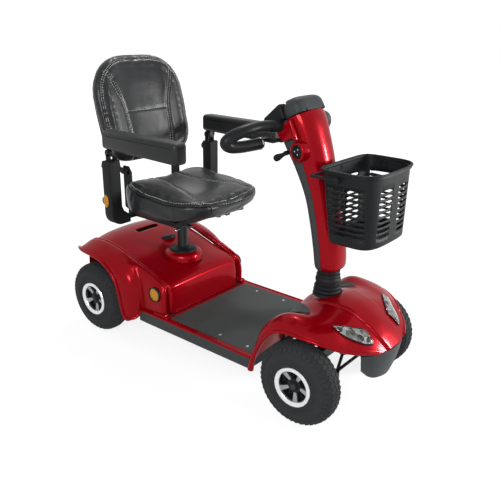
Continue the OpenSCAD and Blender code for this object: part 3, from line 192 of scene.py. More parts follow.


# vacuum-plated reflector bowl: mirror facets, each painted light or dark as a painted reflection
def makeReflector():
    mix = startMaterial("platedReflector", {"Metallic": 1.0, "Roughness": 0.12})
    facetReflection = mix.pattern("Voronoi", 13, feature="F1")
    # the dark and bright facets are painted reflections of the surroundings
    mix.tint(("#2c2a28", "#c4c2be"), facetReflection["Color"])
    mix.relief(facetReflection["Distance"], 0.5, 3)
    return mix.material, "clear_lens"


rimCoat = {"Coat Weight": 0.5, "Coat Roughness": 0.06}
red = makeCandyRed()
charcoal = makeFinish("grainedABS", "charcoal", ("#333637", "#3c3f40"), 60, 1.4, 0.12, (0.42, 0.55))
black = makeFinish("blackPolypropylene", "black_plastic", ("#141517", "#1b1c1e"), 50, 1.2, 0.1, (0.4, 0.55))
softBlack = makeFinish("softTouchABS", "black_plastic", ("#121314", "#18191b"), 45, 0.9, 0.08, (0.45, 0.6))
powder = makeFinish("powderCoatedSteel", "steel", ("#121314", "#1a1b1c"), 30, 1.0, 0.08, (0.35, 0.5),
                    Metallic=0.2)
zinc = makeFinish("zincPlatedSteel", "bare_steel", ("#a9adb0", "#c2c5c7"), 20, 0.8, 0.03, (0.2, 0.34),
                  Metallic=1.0)
cast = makeFinish("castAluminium", "rim_silver", ("#8a8d8f", "#a2a5a6"), 24, 1.6, 0.12, (0.38, 0.55),
                  Metallic=0.9)
silver = makeFinish("silverLacqueredAluminium", "rim_silver", ("#d3d5d7", "#e2e4e5"), 30, 1.0, 0.02,
                    (0.16, 0.26), Metallic=0.85, **rimCoat)
tyreRubber = makeFinish("vulcanisedRubber", "tyre", ("#27292a", "#313334"), 34, 1.5, 0.15, (0.62, 0.82))
bellowsRubber = makeFinish("mouldedEPDM", "rubber", ("#17181a", "#222325"), 18, 1.0, 0.08, (0.45, 0.62))
gripVinyl = makeFinish("dippedVinylFoam", "rubber", ("#141516", "#1d1e1f"), 30, 1.3, 0.14, (0.3, 0.42))
matRubber = makeMatRubber()
leatherette = makeLeatherette("embossedVinyl", "leatherette", ("#18191a", "#232426"), 1.8, 0.18, (0.24, 0.4))
armVinyl = makeLeatherette("armrestVinyl", "rubber", ("#141516", "#1e1f20"), 1.6, 0.14, (0.36, 0.5))
thread = makeFinish("polyesterThread", "leatherette", ("#a8a8a4", "#c9c9c5"), 4, 0.7, 0.15, (0.6, 0.8))
piping = makeFinish("pipingVinyl", "leatherette", ("#0f1011", "#17181a"), 20, 1.0, 0.05, (0.2, 0.32))
armPiping = (piping[0], "rubber")
amberLens = makeLens("amberAcrylic", "amber_lens", ("#9a6208", "#cc9216"), 4)
redLens = makeLens("redAcrylic", "red_lens", ("#7c0408", "#b40c12"), 4)
clearLens = makeClearLens()
reflector = makeReflector()
print("finishes made")


# small helpers for meshes
tails = {-1: "Right", 1: "Left"}
upward, sideways = (0, 0, 1), (0, 1, 0)
lipSteps = 60
curveSteps = 8
edgeAngle = radians(35)


def signedPower(value, power):
    return copysign(abs(value) ** power, value)


# a point of a square with round corners, one turn being the whole way round
def roundSquare(turns, power):
    return signedPower(cos(tau * turns), power), signedPower(sin(tau * turns), power)


def clamp(value):
    return min(1, max(0, value))


def even(share):
    return 1


def alongCurve(points, t):
    last = len(points) - 1
    step = max(0, min(int(t * last), last - 1))
    u = t * last - step
    a, b, c, d = points[max(step - 1, 0)], points[step], points[step + 1], points[min(step + 2, last)]
    return 0.5 * (2 * b + (c - a) * u + (2 * a - 5 * b + 4 * c - d) * u * u
                  + (3 * b - a - 3 * c + d) * u * u * u)


def surfaceAt(rows, u, v):
    return alongCurve([alongCurve([row[j] for row in rows], u) for j in range(len(rows[0]))], v)


def bothSides(row):
    return [(x, -y, z) for x, y, z in row] + [row[i] for i in range(len(row) - 2, -1, -1)]


# a grid laid over rows of points given in millimetres
def panelFrom(rows, steps, inside):
    rows = [[Vector(p) * mm for p in row] for row in rows]
    bm = bmesh.new()
    bmesh.ops.create_grid(bm, x_segments=steps[1], y_segments=steps[0], size=1)
    for vert in bm.verts:
        vert.co = surfaceAt(rows, clamp((vert.co.y + 1) / 2), clamp((vert.co.x + 1) / 2))
    return faceOut(bm, inside)


def faceOut(bm, inside):
    bm.normal_update()
    centre = Vector(inside) * mm
    if sum((f.calc_center_median() - centre).dot(f.normal) * f.calc_area() for f in bm.faces) < 0:
        bmesh.ops.reverse_faces(bm, faces=bm.faces[:])
    bm.normal_update()
    return bm


def fixNormals(bm):
    bmesh.ops.recalc_face_normals(bm, faces=bm.faces[:])
    return bm


# a rolled lip along one edge of a panel's rows, a little behind its face
def lipAlong(rows, start, end, edge, radius, share=even):
    rows = [[Vector(p) for p in row] for row in rows]
    path = []
    for i in range(lipSteps + 1):
        u = start + (end - start) * i / lipSteps
        spot, near = surfaceAt(rows, u, edge), surfaceAt(rows, u, 0.02 if edge == 0 else 0.98)
        path.append(spot + (near - spot).normalized() * radius * 0.7 * share(i / lipSteps))
    return path


def makePiece(bm, name, body, finish, stands=(), sharp=38):
    mesh = bpy.data.meshes.new(name)
    bm.to_mesh(mesh)
    bm.free()
    mesh.materials.append(finish[0])
    for polygon in mesh.polygons:
        polygon.use_smooth = True
    mesh.set_sharp_from_angle(angle=radians(sharp))
    piece = addObject(name, mesh)
    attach(piece, body)
    if stands:
        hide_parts(*stands)
    return piece


def giveThickness(piece, thickness):
    wall = piece.modifiers.new("wall", "SOLIDIFY")
    wall.thickness, wall.offset = thickness * mm, -1
    wall.use_quality_normals = True
    return piece


def roundEdges(piece, width, segments=3):
    bevel = piece.modifiers.new("edges", "BEVEL")
    bevel.width, bevel.segments, bevel.limit_method = width * mm, segments, "ANGLE"
    bevel.angle_limit = edgeAngle
    bevel.harden_normals = True


# a merged copy of a node's own mesh
def cadCopy(node, flat=1.0):
    bm = bmesh.new()
    bm.from_mesh(nodes[node].data)
    bmesh.ops.remove_doubles(bm, verts=bm.verts[:], dist=0.02 * mm)
    bmesh.ops.dissolve_limit(bm, angle_limit=radians(flat), verts=bm.verts[:], edges=bm.edges[:])
    return bm


# a copy with rounded edges, for moulded and bent pieces
def softened(node, body, finish, width, segments=3):
    roundEdges(makePiece(cadCopy(node), node + "Soft", body, finish, [node]), width, segments)


# a ring or cup turned from a profile of (radius, along) in millimetres, about an axis through a point
def turned(profile, centre, axis, steps=64, closed=False):
    bm = bmesh.new()
    axis, centre = Vector(axis).normalized(), Vector(centre) * mm
    side = axis.orthogonal().normalized()
    verts = [bm.verts.new(centre + side * r * mm + axis * a * mm) for r, a in profile]
    ends = list(zip(verts, verts[1:])) + ([(verts[-1], verts[0])] if closed else [])
    edges = [bm.edges.new(pair) for pair in ends]
    bmesh.ops.spin(bm, geom=verts + edges, cent=centre, axis=axis, angle=tau, steps=steps, use_merge=True)
    bmesh.ops.remove_doubles(bm, verts=bm.verts[:], dist=0.01 * mm)
    return bm


def turnedPiece(profile, centre, axis, name, body, finish, stands=(), steps=64):
    makePiece(fixNormals(turned(profile, centre, axis, steps)), name, body, finish, stands)


# the mesh that an object shows with its modifiers
def shownMesh(holder):
    return bpy.data.meshes.new_from_object(holder.evaluated_get(bpy.context.evaluated_depsgraph_get()))


# a tube through points in millimetres
def tubeMesh(runs, radius, sides=4, smooth=True, closed=False, share=even):
    data = bpy.data.curves.new("run", "CURVE")
    data.dimensions, data.bevel_depth, data.bevel_resolution = "3D", radius * mm, sides
    data.use_fill_caps = True
    for run in runs:
        spline = data.splines.new("POLY")
        points = [Vector(p) for p in run]
        if smooth:
            count = curveSteps * (len(points) - 1)
            points = [alongCurve(points, i / count) for i in range(count + 1)]
        spline.points.add(len(points) - 1)
        for i, (spot, p) in enumerate(zip(spline.points, points)):
            spot.co = (*(p * mm), 1)
            spot.radius = share(i / (len(points) - 1))
        spline.use_cyclic_u = closed
    holder = addObject("run", data)
    mesh = shownMesh(holder)
    bpy.data.objects.remove(holder)
    bm = bmesh.new()
    bm.from_mesh(mesh)
    bpy.data.meshes.remove(mesh)
    bmesh.ops.remove_doubles(bm, verts=bm.verts[:], dist=0.001 * mm)
    return fixNormals(bm)


# cut shapes out of a finished piece, then keep the cut mesh
def cutAway(piece, cutters):
    for cutter in cutters:
        holder = addObject("cutter", bpy.data.meshes.new("cutter"))
        cutter.to_mesh(holder.data)
        cutter.free()
        knife = piece.modifiers.new("cut", "BOOLEAN")
        knife.object, knife.operation, knife.solver = holder, "DIFFERENCE", "EXACT"
        bpy.context.view_layer.update()
        mesh, old = shownMesh(piece), piece.data
        piece.modifiers.clear()
        piece.data = mesh
        bpy.data.meshes.remove(old)
        bpy.data.objects.remove(holder)


def rod(start, end, radius, segments=32):
    bm = bmesh.new()
    a, b = Vector(start) * mm, Vector(end) * mm
    place = Matrix.Translation((a + b) / 2) @ (b - a).to_track_quat("Z", "Y").to_matrix().to_4x4()
    bmesh.ops.create_cone(bm, cap_ends=True, segments=segments, radius1=radius * mm, radius2=radius * mm,
                          depth=(b - a).length, matrix=place)
    return bm


def bevelEdges(bm, edges, width, segments):
    bmesh.ops.bevel(bm, geom=edges, offset=width * mm, affect="EDGES", segments=segments,
                    profile=0.5, material=-1)


def block(low, high, edge=0, segments=3):
    bm = bmesh.new()
    low, high = Vector(low) * mm, Vector(high) * mm
    place = Matrix.Translation((low + high) / 2) @ Matrix.Diagonal((*(high - low), 1))
    bmesh.ops.create_cube(bm, size=1, matrix=place)
    if edge:
        bevelEdges(bm, bm.edges[:], edge, segments)
    return bm


def joined(parts):
    bm = bmesh.new()
    for part in parts:
        mesh = bpy.data.meshes.new("part")
        part.to_mesh(mesh)
        part.free()
        bm.from_mesh(mesh)
        bpy.data.meshes.remove(mesh)
    return bm


def mirrored(bm):
    bmesh.ops.scale(bm, vec=(1, -1, 1), verts=bm.verts[:])
    bmesh.ops.reverse_faces(bm, faces=bm.faces[:])
    return bm


# what was modelled on the left, for one side
def onSide(bm, side):
    return bm if side > 0 else mirrored(bm)


def sidePiece(bm, side, name, *settings):
    return makePiece(onSide(bm, side), name + tails[side], *settings)


# a panel with a wall, from rows of points and the settings of its piece
def makeShell(rows, settings, name, body, finish, stands=(), side=0):
    bm = panelFrom(rows, settings["steps"], settings["inside"])
    look = (body, finish, stands, 60)
    piece = sidePiece(bm, side, name, *look) if side else makePiece(bm, name, *look)
    return giveThickness(piece, settings["wall"])


def moved(bm, matrix):
    bmesh.ops.transform(bm, matrix=matrix, verts=bm.verts[:])
    return bm


def shiftBy(*place):
    return Matrix.Translation(Vector(place) * mm)


# rear body
hood = {"front": -150, "half": 181, "edge": 242, "top": 350, "deck": 138, "wall": 3, "postX": -266,
        "hole": 36, "steps": (132, 84), "inside": (-380, 0, 150),
        "ring": [(38, 272), (72, 278), (71.5, 290), (69, 299), (64, 305), (57, 308), (52, 308.4), (38, 308)],
        "cap": [(0, 5), (20, 4.6), (28, 3), (31, 0), (31, -8)], "capPlace": (-378, 26, 324),
        "capAxis": (-0.27, 0, 0.96),
        "dish": [(20.6, 0.5), (20.6, 14), (23, 15), (26, 12), (28, 9.5), (44, 8), (48.5, 6), (50, 3.6),
                 (50, 0.2), (38, 0.2)], "dishZ": 308}

apron = {"steps": (4, 48), "inside": (-500, 0, 202), "wall": 2}


def hoodRows():
    front, half, edge, top, deck = (hood[k] for k in ("front", "half", "edge", "top", "deck"))
    across = (half, half - 5, half - 20, 100, 0)
    walls = [((22, 8, 1, 0, 0), [deck + 1] * 5),
             ((22, 9, 2, 1, 1), [deck + h for h in (56, 58, 60, 62, 63)]),
             ((24, 13, 6, 5, 5), [edge - h for h in (26, 20, 16, 13, 12)])]
    rows = [bothSides([(front - s, y, z) for s, y, z in zip(back, across, heights)])
            for back, heights in walls]
    middle = [(front - 12, edge + 4), (-190, edge + 22), (-266, edge + 46), (-370, top - 28), (-477, top - 2),
              (-556, top - 8), (-588, top - 42), (-598, top - 90), (-598, top - 140)]
    drop = [6, 8, 10, 12, 14, 18, 16, 6, 2]
    for i, ((x, z), d) in enumerate(zip(middle, drop)):
        first = 1 if i == 0 else 0
        rows.append(bothSides([(x - 14 * first, half, z - d - 18), (x - 8 * first, half - 3, z - d - 7),
                               (x, half - 18, z - d), (x, 100, z - 0.3 * d), (x, 0, z)]))
    return rows


def makeHood():
    x = hood["postX"]
    piece = makeShell(hoodRows(), hood, "hoodShell", "chassis", red, ["rear_hood"])
    slot = block((-474, -52, 300), (-450, 52, 380), 9, 5)
    cutAway(piece, [rod((x, 0, 180), (x, 0, 380), hood["hole"], 48), slot])
    # raised ring round the post, the pocket under the hand slot and a cap behind the post
    turnedPiece(hood["ring"], (x, 0, 0), upward, "postRing", "chassis", red, steps=72)
    pocket = block((-477, -55, 322), (-447, 55, 340), 6, 3)
    bmesh.ops.delete(pocket, geom=[f for f in pocket.faces if f.normal.z > 0.9], context="FACES")
    makePiece(pocket, "slotPocket", "chassis", black)
    turnedPiece(hood["cap"], hood["capPlace"], hood["capAxis"], "hoodCap", "chassis", black, steps=48)
    # flat black dish round the post, with a short neck
    turnedPiece(hood["dish"], (x, 0, hood["dishZ"]), upward, "postDish", "chassis", black, ["seat_collar"])
    # a dark apron under the rear edge closes the slot above the bumper
    across = [i / 4 for i in range(-4, 5)]
    rows = [[(max(-599.5 + 20 * t * t, -597.5), 174 * t, z) for t in across] for z in (188, 202, 216)]
    makeShell(rows, apron, "hoodApron", "chassis", charcoal)


# the left fender's rows run over the arch from front to rear, each from the hood's joint out to the rim
fender = {
    "wall": 3, "jointY": 182.6, "steps": (132, 56), "inside": (-380, 150, 200), "lip": 6, "lipFrom": 0.46,
    "bead": 7, "reflector": (-194, 215.2, 216),
    "bezel": [(23, 3), (23.6, 6), (25.4, 6.8), (27, 5), (27.5, 0)],
    "lens": [(0, 7.6), (11, 7), (18, 5.6), (23.4, 3.4)],
    "rows": [
        [(-176, 184.5, 140), (-160, 192.5, 140), (-152, 204, 140), (-164, 214, 140), (-190, 215, 140)],
        [(-176, 184.5, 200), (-160, 192.5, 202), (-153, 204, 200), (-166, 214, 196), (-206, 215, 140)],
        [(-180, 184.5, 242), (-168, 193.5, 246), (-170, 204, 242), (-184, 214, 218), (-226, 215, 140)],
        [(-226, 184.5, 268), (-226, 194.5, 274), (-226, 205, 267), (-232, 215, 222), (-244, 215, 140)],
        [(-280, 184.5, 287), (-280, 195.5, 293), (-278, 208, 282), (-258, 216, 226), (-258, 216, 139)],
        [(-290, 184.5, 290), (-290, 196.5, 296), (-289, 212, 285), (-265, 217, 228), (-263, 217, 136)],
        [(-297, 184.5, 292), (-297, 196.5, 298), (-298, 220, 289), (-272, 229, 230), (-268, 231, 114)],
        [(-316, 184.5, 298), (-316, 197.5, 304), (-318, 228, 294), (-286, 248, 236), (-280, 250, 104)],
        [(-350, 184.5, 309), (-350, 198.5, 314), (-350, 233, 302), (-318, 258, 250), (-312, 261, 107)],
        [(-400, 184.5, 324), (-400, 200.5, 328), (-400, 236, 316), (-374, 260, 289), (-344, 264, 234)],
        [(-477, 184.5, 336), (-477, 200.5, 338), (-477, 234, 325), (-467, 259, 310), (-415, 264, 294)],
        [(-548, 184.5, 328), (-548, 196.5, 330), (-548, 222, 320), (-546, 248, 310), (-530, 256, 304)],
        [(-588, 184.5, 294), (-592, 194.5, 296), (-590, 206, 298), (-584, 224, 300), (-576, 238, 302)]
    ]}


def makeFenders():
    rows = fender["rows"]
    for side, node in ((-1, "rear_fender_right"), (1, "rear_fender_left")):
        tail = tails[side]
        makeShell(rows, fender, "fender", "chassis", red, [node], side)
        lip = [(x, side * y, z) for x, y, z in lipAlong(rows, fender["lipFrom"], 1.0, 1, fender["lip"])]
        makePiece(tubeMesh([lip], fender["lip"], 4, False), "fenderLip" + tail, "chassis", red)
        # a red bead closes the joint with the hood, and a sill carries the trim's edge back to the arch
        joint = [(row[0][0], side * fender["jointY"], row[0][2] - 3) for row in rows]
        makePiece(tubeMesh([joint], fender["bead"]), "hoodBead" + tail, "chassis", red)
        sill = [block((-264, 200, 133), (-140, 227.5, 141), 2.5),
                block((-200, 196, 138), (-146, 222, 150), 5, 4)]
        sidePiece(joined(sill), side, "podSill", "chassis", red)
        sidePiece(block((-267, 212, 97), (-240, 226.8, 133.6), 1.5, 2), side, "skirtEnd", "chassis", charcoal)
        # round quartered reflector in a dark bezel
        x, y, z = fender["reflector"]
        place, axis = (x, side * y, z), (0, side, 0)
        turnedPiece(fender["bezel"], place, axis, "reflectorBezel" + tail, "chassis", black, steps=48)
        lens = faceOut(turned(fender["lens"], place, axis, 48), (x, side * 190, z))
        for angle in (45, 135):
            rib = block((-19, -0.6, -0.8), (19, 0.8, 0.8))
            moved(rib, shiftBy(x, side * y + side * 6, z) @ Matrix.Rotation(radians(angle), 4, "Y"))
            lens = joined([lens, rib])
        makePiece(lens, "reflectorLens" + tail, "chassis", amberLens, ["side_reflectors"] if side < 0 else ())


makeHood()
makeFenders()
print("rear body made")

# front body
# the cowl's rows run from the floor over the arches to the nose, each from the left rim to the middle
cowl = {
    "columnX": 363, "wall": 3, "steps": (144, 150), "inside": (420, 0, 120), "hole": 47.6, "lip": 5,
    "foot": 1.0, "tongue": [(380, 74), (420, 66), (470, 58), (520, 52), (572, 47), (600, 40), (620, 34)],
    "tongueRise": 7.0, "tongueX": 372, "fade": 50, "step": 7,
    "rows": [
        [(250, 235, 101), (246, 227, 103), (244, 201, 132), (241, 120, 138), (241, 60, 138), (241, 0, 138)],
        [(268, 235, 165), (258, 227, 178), (252, 201, 196), (255, 122, 178), (252, 62, 176), (252, 0, 178)],
        [(300, 235, 226), (287, 225, 254), (282, 193, 262), (282, 126, 240), (276, 66, 240), (274, 0, 248)],
        [(350, 235, 267), (344, 223, 293), (338, 183, 308), (322, 128, 282), (312, 66, 284), (306, 0, 298)],
        [(428, 235, 273), (424, 215, 294), (420, 167, 307), (405, 122, 308), (384, 62, 318), (367, 0, 324)],
        [(490, 212, 261), (487, 200, 274), (487, 164, 289), (480, 114, 300), (472, 54, 313), (466, 0, 320)],
        [(538, 170, 241), (535, 161, 252), (530, 136, 261), (530, 96, 277), (530, 46, 285), (530, 0, 290)],
        [(578, 120, 230), (576, 113, 238), (572, 97, 244), (571, 68, 251), (571, 34, 256), (571, 0, 258)],
        [(598, 76, 223), (601, 60, 222), (604, 45, 221), (606, 30, 221), (607, 15, 221), (607, 0, 221)]
    ]}


def tongueHalf(x):
    line = cowl["tongue"]
    for (x0, y0), (x1, y1) in zip(line, line[1:]):
        if x <= x1:
            return y0 + (y1 - y0) * max(0, x - x0) / (x1 - x0)
    return line[-1][1]


# the lip is thickest at the foot
def lipShare(t):
    return 1 + cowl["foot"] * max(0, 1 - t / 0.42)


def makeCowl():
    rows = [bothSides(row) for row in cowl["rows"]]
    bm = panelFrom(rows, cowl["steps"], cowl["inside"])
    # the middle of the nose stands proud of the wings along a crease
    for vert in bm.verts:
        x, y = vert.co.x / mm, abs(vert.co.y / mm)
        if x > cowl["tongueX"]:
            share = clamp((tongueHalf(x) + cowl["step"] / 2 - y) / cowl["step"])
            fade = min(1, (x - cowl["tongueX"]) / cowl["fade"])
            vert.co += vert.normal * cowl["tongueRise"] * mm * fade * share * share * (3 - 2 * share)
    bm.normal_update()
    piece = giveThickness(makePiece(bm, "cowlShell", "chassis", red, ["front_cowl"], 60), cowl["wall"])
    cutAway(piece, [rod((cowl["columnX"], 0, 230), (cowl["columnX"], 0, 420), cowl["hole"], 64)])
    lips = [lipAlong(rows, 0.0, 0.97, edge, cowl["lip"], lipShare) for edge in (0, 1)]
    makePiece(tubeMesh(lips, cowl["lip"], 4, False, False, lipShare), "cowlLip", "chassis", red)


# each layer of a lamp has its height, its crown, its share of the outline and its wall
lamp = {"upper": [(476, 148, 296), (495, 123, 293), (518, 95, 285), (539, 71, 276)],
        "lower": [(498, 148, 286), (518, 137, 272), (557, 107, 252), (575, 80, 245)],
        "lift": (0.52, 0.17, 0.83), "steps": (16, 24), "inside": (500, 90, 200),
        "layers": [("lampBezel", black, (2.6, 3.2, 1.08), 2.4),
                   ("lampBowl", reflector, (3.4, 3.2, 0.94), 0.6),
                   ("lampCover", clearLens, (6.4, 3.6, 1.0), 1.6)]}


def lampRows(base, crown, grow):
    lift = Vector(lamp["lift"]).normalized()
    rows = []
    for k in (0, 0.25, 0.5, 0.75, 1):
        row = []
        for a, b in zip(lamp["upper"], lamp["lower"]):
            a, b = Vector(a), Vector(b)
            m = (a + b) / 2
            row.append(m + (a.lerp(b, k) - m) * grow + lift * (base + crown * 4 * k * (1 - k)))
        rows.append(row)
    return rows


def makeLamps():
    for side in (-1, 1):
        for name, finish, values, wall in lamp["layers"]:
            stands = ["headlamps"] if side < 0 and name == "lampCover" else ()
            makeShell(lampRows(*values), {**lamp, "wall": wall}, name, "chassis", finish, stands, side)


nose = {"x": 610, "top": 218, "low": 118, "steps": (30, 64), "inside": (480, 0, 170), "wall": 8, "edge": 2.5}


def makeFrontBumper():
    rows = []
    for k in (0, 0.34, 0.68, 1):
        row = []
        for t in (1, 0.8, 0.6, 0.4, 0.2, 0):
            x = nose["x"] - 6 * (1 - k) - 14 * (1 - k) ** 2 - (40 + 6 * k) * t ** 2.3
            low = nose["low"] + 8 * t + 26 * max(0, (t - 0.6) / 0.4) ** 2  # rounded lower corners
            row.append((x, (92 + 30 * k ** 0.6) * t, low + (nose["top"] - low) * k))
        rows.append(bothSides(row))
    roundEdges(makeShell(rows, nose, "noseBumper", "chassis", charcoal, ["front_bumper"]), nose["edge"])


makeCowl()
makeLamps()
makeFrontBumper()
print("front body made")

# floor: trim, pan, rear bumper and tail lamps keep their nodes' shapes with soft edges
softened("deck_trim", "chassis", red, 3.0, 4)
softened("deck_pan", "chassis", charcoal, 1.6)
softened("rear_bumper", "chassis", charcoal, 3.0)
softened("tail_lamps", "chassis", redLens, 2.0)
matTip = {"from": 290, "start": (318, 70), "slant": (58, 72), "sharp": 14}


# the mat's two upper corners run out to a point beside the cowl's tongue
def makeMat():
    bm = cadCopy("deck_mat")
    (startX, startY), (slantX, slantY) = matTip["start"], matTip["slant"]
    for side in (-1, 1):
        near = []
        for face in bm.faces:
            middle = face.calc_center_median()
            if middle.x > matTip["from"] * mm and middle.y * side > 0:
                near.append(face)
        corners = dict.fromkeys(v for f in near for v in f.verts)
        sides = dict.fromkeys(e for f in near for e in f.edges)
        geom = [*corners, *sides, *near]
        cut = bmesh.ops.bisect_plane(bm, geom=geom, plane_co=Vector((startX, side * startY, 0)) * mm,
                                     plane_no=Vector((slantX, -side * slantY, 0)).normalized(),
                                     clear_outer=True)
        bmesh.ops.edgenet_fill(bm, edges=[g for g in cut["geom_cut"] if isinstance(g, bmesh.types.BMEdge)])
    makePiece(fixNormals(bm), "deckMat", "chassis", matRubber, ["deck_mat"], matTip["sharp"])


makeMat()
for finish, shown in ((zinc, ("mat_screws", "steering_shaft")), (black, ("batteries",)),
                      (powder, ("main_frame", "drive_motor", "seat_post", "handlebar")),
                      (cast, ("controller", "transaxle"))):
    for node in shown:
        nodes[node].data.materials.clear()
        nodes[node].data.materials.append(finish[0])
# rolled edge of the trim along both sides
trim = {"xs": (-262, -60, 238), "y": 223.4, "z": 136.4, "radius": 4.2}
trimRuns = [[(x, side * trim["y"], trim["z"]) for x in trim["xs"]] for side in (-1, 1)]
makePiece(tubeMesh(trimRuns, trim["radius"]), "trimBead", "chassis", red)
print("floor and frame dressed")

# steering linkage and drive lever
for node, body in (("knuckle_right", "knuckle_r"), ("knuckle_left", "knuckle_l"), ("tie_rod", "tie"),
                   ("drag_link", "drag")):
    softened(node, body, powder, 0.8, 2)
softened("freewheel_lever", "freewheel", red, 1.4)

bellows = {"x": 363, "low": 314, "high": 402, "wide": 46, "narrow": 34, "ribs": 7, "groove": 6, "rib": 6.5,
           "pivot": 362, "ball": 38, "near": 13, "split": 372, "resume": 379,
           "collar": [(39.2, 364.5), (39.6, 367), (39.4, 370.5), (38.2, 373.5), (35.8, 376.9)]}


def bellowsRadius(z):
    t = (z - bellows["low"]) / (bellows["high"] - bellows["low"])
    wave = abs(sin(pi * bellows["ribs"] * t)) ** 0.7
    return (bellows["wide"] + (bellows["narrow"] - bellows["wide"]) * t
            - bellows["groove"] + bellows["rib"] * wave)


# moulded gaiter in two parts that meet on a ball about the tilt axis,
# so that it stays closed as the tiller leans
def makeBellows():
    lower, upper = [], list(bellows["collar"])
    for i in range(71):
        z = bellows["low"] + (bellows["split"] - bellows["low"]) * i / 70
        ball = sqrt(bellows["ball"] ** 2 - min(abs(z - bellows["pivot"]), bellows["near"]) ** 2)
        onBall = z > bellows["pivot"] - bellows["near"]
        lower.append((min(bellowsRadius(z), ball) if onBall else bellowsRadius(z), z))
    for i in range(31):
        z = bellows["resume"] + (bellows["high"] - bellows["resume"]) * i / 30
        upper.append((bellowsRadius(z), z))
    for profile, name, body, stands in ((lower, "bellowsLower", "steering", ["bellows"]),
                                        (upper, "bellowsUpper", "tiller", ())):
        bm = fixNormals(turned(profile, (bellows["x"], 0, 0), upward, 72))
        makePiece(faceOut(bm, (bellows["x"], 0, bellows["pivot"])), name, body, bellowsRubber, stands, 80)


makeBellows()
print("steering made")

# wheels, modelled at the origin with the outer face towards -Y
wheel = {"radius": 130, "half": 42, "rim": 62, "lug": 1.5, "rows": 5, "count": 44, "spokes": 5, "reach": 33,
         "sunk": 2.5, "shoulder": 96, "sideRings": ((74, 0.9), (84, 0.7)),
         "rimRing": [(48.5, -28), (48.5, -36.5), (50.5, -39), (57, -41), (60.6, -40.6), (62.4, -38.2),
                     (61, -34), (58.8, -33), (52.5, -28), (52.5, 28), (50.6, 28), (50.6, -26)],
         "hub": [(0, -33.5), (11, -33.4), (13.5, -32), (14.5, -28.5), (23, -27), (24, -24), (24, 20),
                 (11, 22)],
         # the sleeve and the plate are dark pieces that stand in for the shade inside the wheel
         "sleeve": [(48.2, -30), (48.2, 20), (50.4, 20), (50.4, -30)],
         "plate": [(0, -14), (47, -14), (47, -12), (0, -12)],
         "places": {"front_right": (428, -228.5, "wheel_fr"), "front_left": (428, 228.5, "wheel_fl"),
                    "rear_right": (-477, -228.5, "wheel_rr"), "rear_left": (-477, 228.5, "wheel_rl")}}


def wheelTurned(profile, steps, closed=False):
    return turned(profile, (0, 0, 0), sideways, steps, closed)


def tyreProfile():
    r, half, base = wheel["radius"] - wheel["lug"], wheel["half"] - 0.6, wheel["rim"] - 3
    profile = []
    for i in range(33):
        angle = pi * i / 32
        across = half * signedPower(-cos(angle), 0.7) * (0.86 if i in (0, 32) else 1)
        profile.append((base + (r - base) * sin(angle) ** 0.62, across))
    return profile


# the tyre's radius at a place across its crown
def crownAt(along):
    outer = [p for p in tyreProfile() if p[0] > wheel["shoulder"]]
    for (r0, a0), (r1, a1) in zip(outer, outer[1:]):
        if a0 <= along <= a1:
            return r0 + (r1 - r0) * (along - a0) / max(1e-6, a1 - a0)


def makeTyre():
    parts = [fixNormals(wheelTurned(tyreProfile(), 96))]
    # staggered tread blocks over the crown and shoulders
    lugHigh = wheel["lug"] + wheel["sunk"]
    skew = Matrix.Rotation(radians(45), 4, "Z") @ Matrix.Diagonal((1, 1 / 1.12, 1, 1))
    for row in range(wheel["rows"]):
        along = -wheel["reach"] + 2 * wheel["reach"] * row / (wheel["rows"] - 1)
        lean = Matrix.Rotation(atan((crownAt(along + 2) - crownAt(along - 2)) / 4), 4, "X")
        out = shiftBy(0, along, crownAt(along) + (wheel["lug"] - wheel["sunk"]) / 2)
        for i in range(wheel["count"]):
            angle = tau * (i + 0.5 * (row % 2)) / wheel["count"]
            lug = block((-7.6, -7, -lugHigh / 2), (7.6, 7, lugHigh / 2))
            bmesh.ops.scale(lug, vec=(0.84, 0.84, 1), verts=[v for v in lug.verts if v.co.z > 0])
            parts.append(moved(lug, Matrix.Rotation(angle, 4, "Y") @ out @ lean @ skew))
    # raised rings on the side walls
    for side in (-1, 1):
        for r, bulge in wheel["sideRings"]:
            edge = min((p for p in tyreProfile() if p[1] * side > 0), key=lambda p: abs(p[0] - r))[1]
            foot, top = edge - side * 1.5, edge + side * bulge
            parts.append(wheelTurned([(r - 1.6, foot), (r - 0.8, top), (r + 0.8, top), (r + 1.6, foot)], 72))
    return joined(parts)


# cast spokes, narrow at the hub and set back in the bowl
def makeSpokes():
    parts = []
    for i in range(wheel["spokes"]):
        arm = block((12, -26, -4), (50, -17, 4), 1.6, 2)
        outer = [v for v in arm.verts if v.co.x > 0.03]
        bmesh.ops.scale(arm, vec=(1, 1, 2.1), verts=outer)
        bmesh.ops.translate(arm, vec=(0, -6 * mm, 0), verts=outer)
        turn = Matrix.Rotation(tau * (i + 0.12) / wheel["spokes"], 3, "Y")
        bmesh.ops.rotate(arm, cent=(0, 0, 0), matrix=turn, verts=arm.verts[:])
        parts.append(arm)
    return joined(parts)


def makeHubAndShade():
    parts = [wheelTurned(wheel["hub"], 48)]
    for i in range(wheel["spokes"]):
        angle = tau * (i + 0.62) / wheel["spokes"]
        x, z = 34 * cos(angle), -34 * sin(angle)
        parts += [rod((x, -21, z), (x, -15, z), 5, 6), rod((x, -25, z), (x, -20, z), 3, 16)]
    # a black sleeve inside the ring and a black plate behind the openings, painted shade for the dark inside
    # of the wheel
    parts += [wheelTurned(wheel["sleeve"], 64, True), wheelTurned(wheel["plate"], 48)]
    return fixNormals(joined(parts))


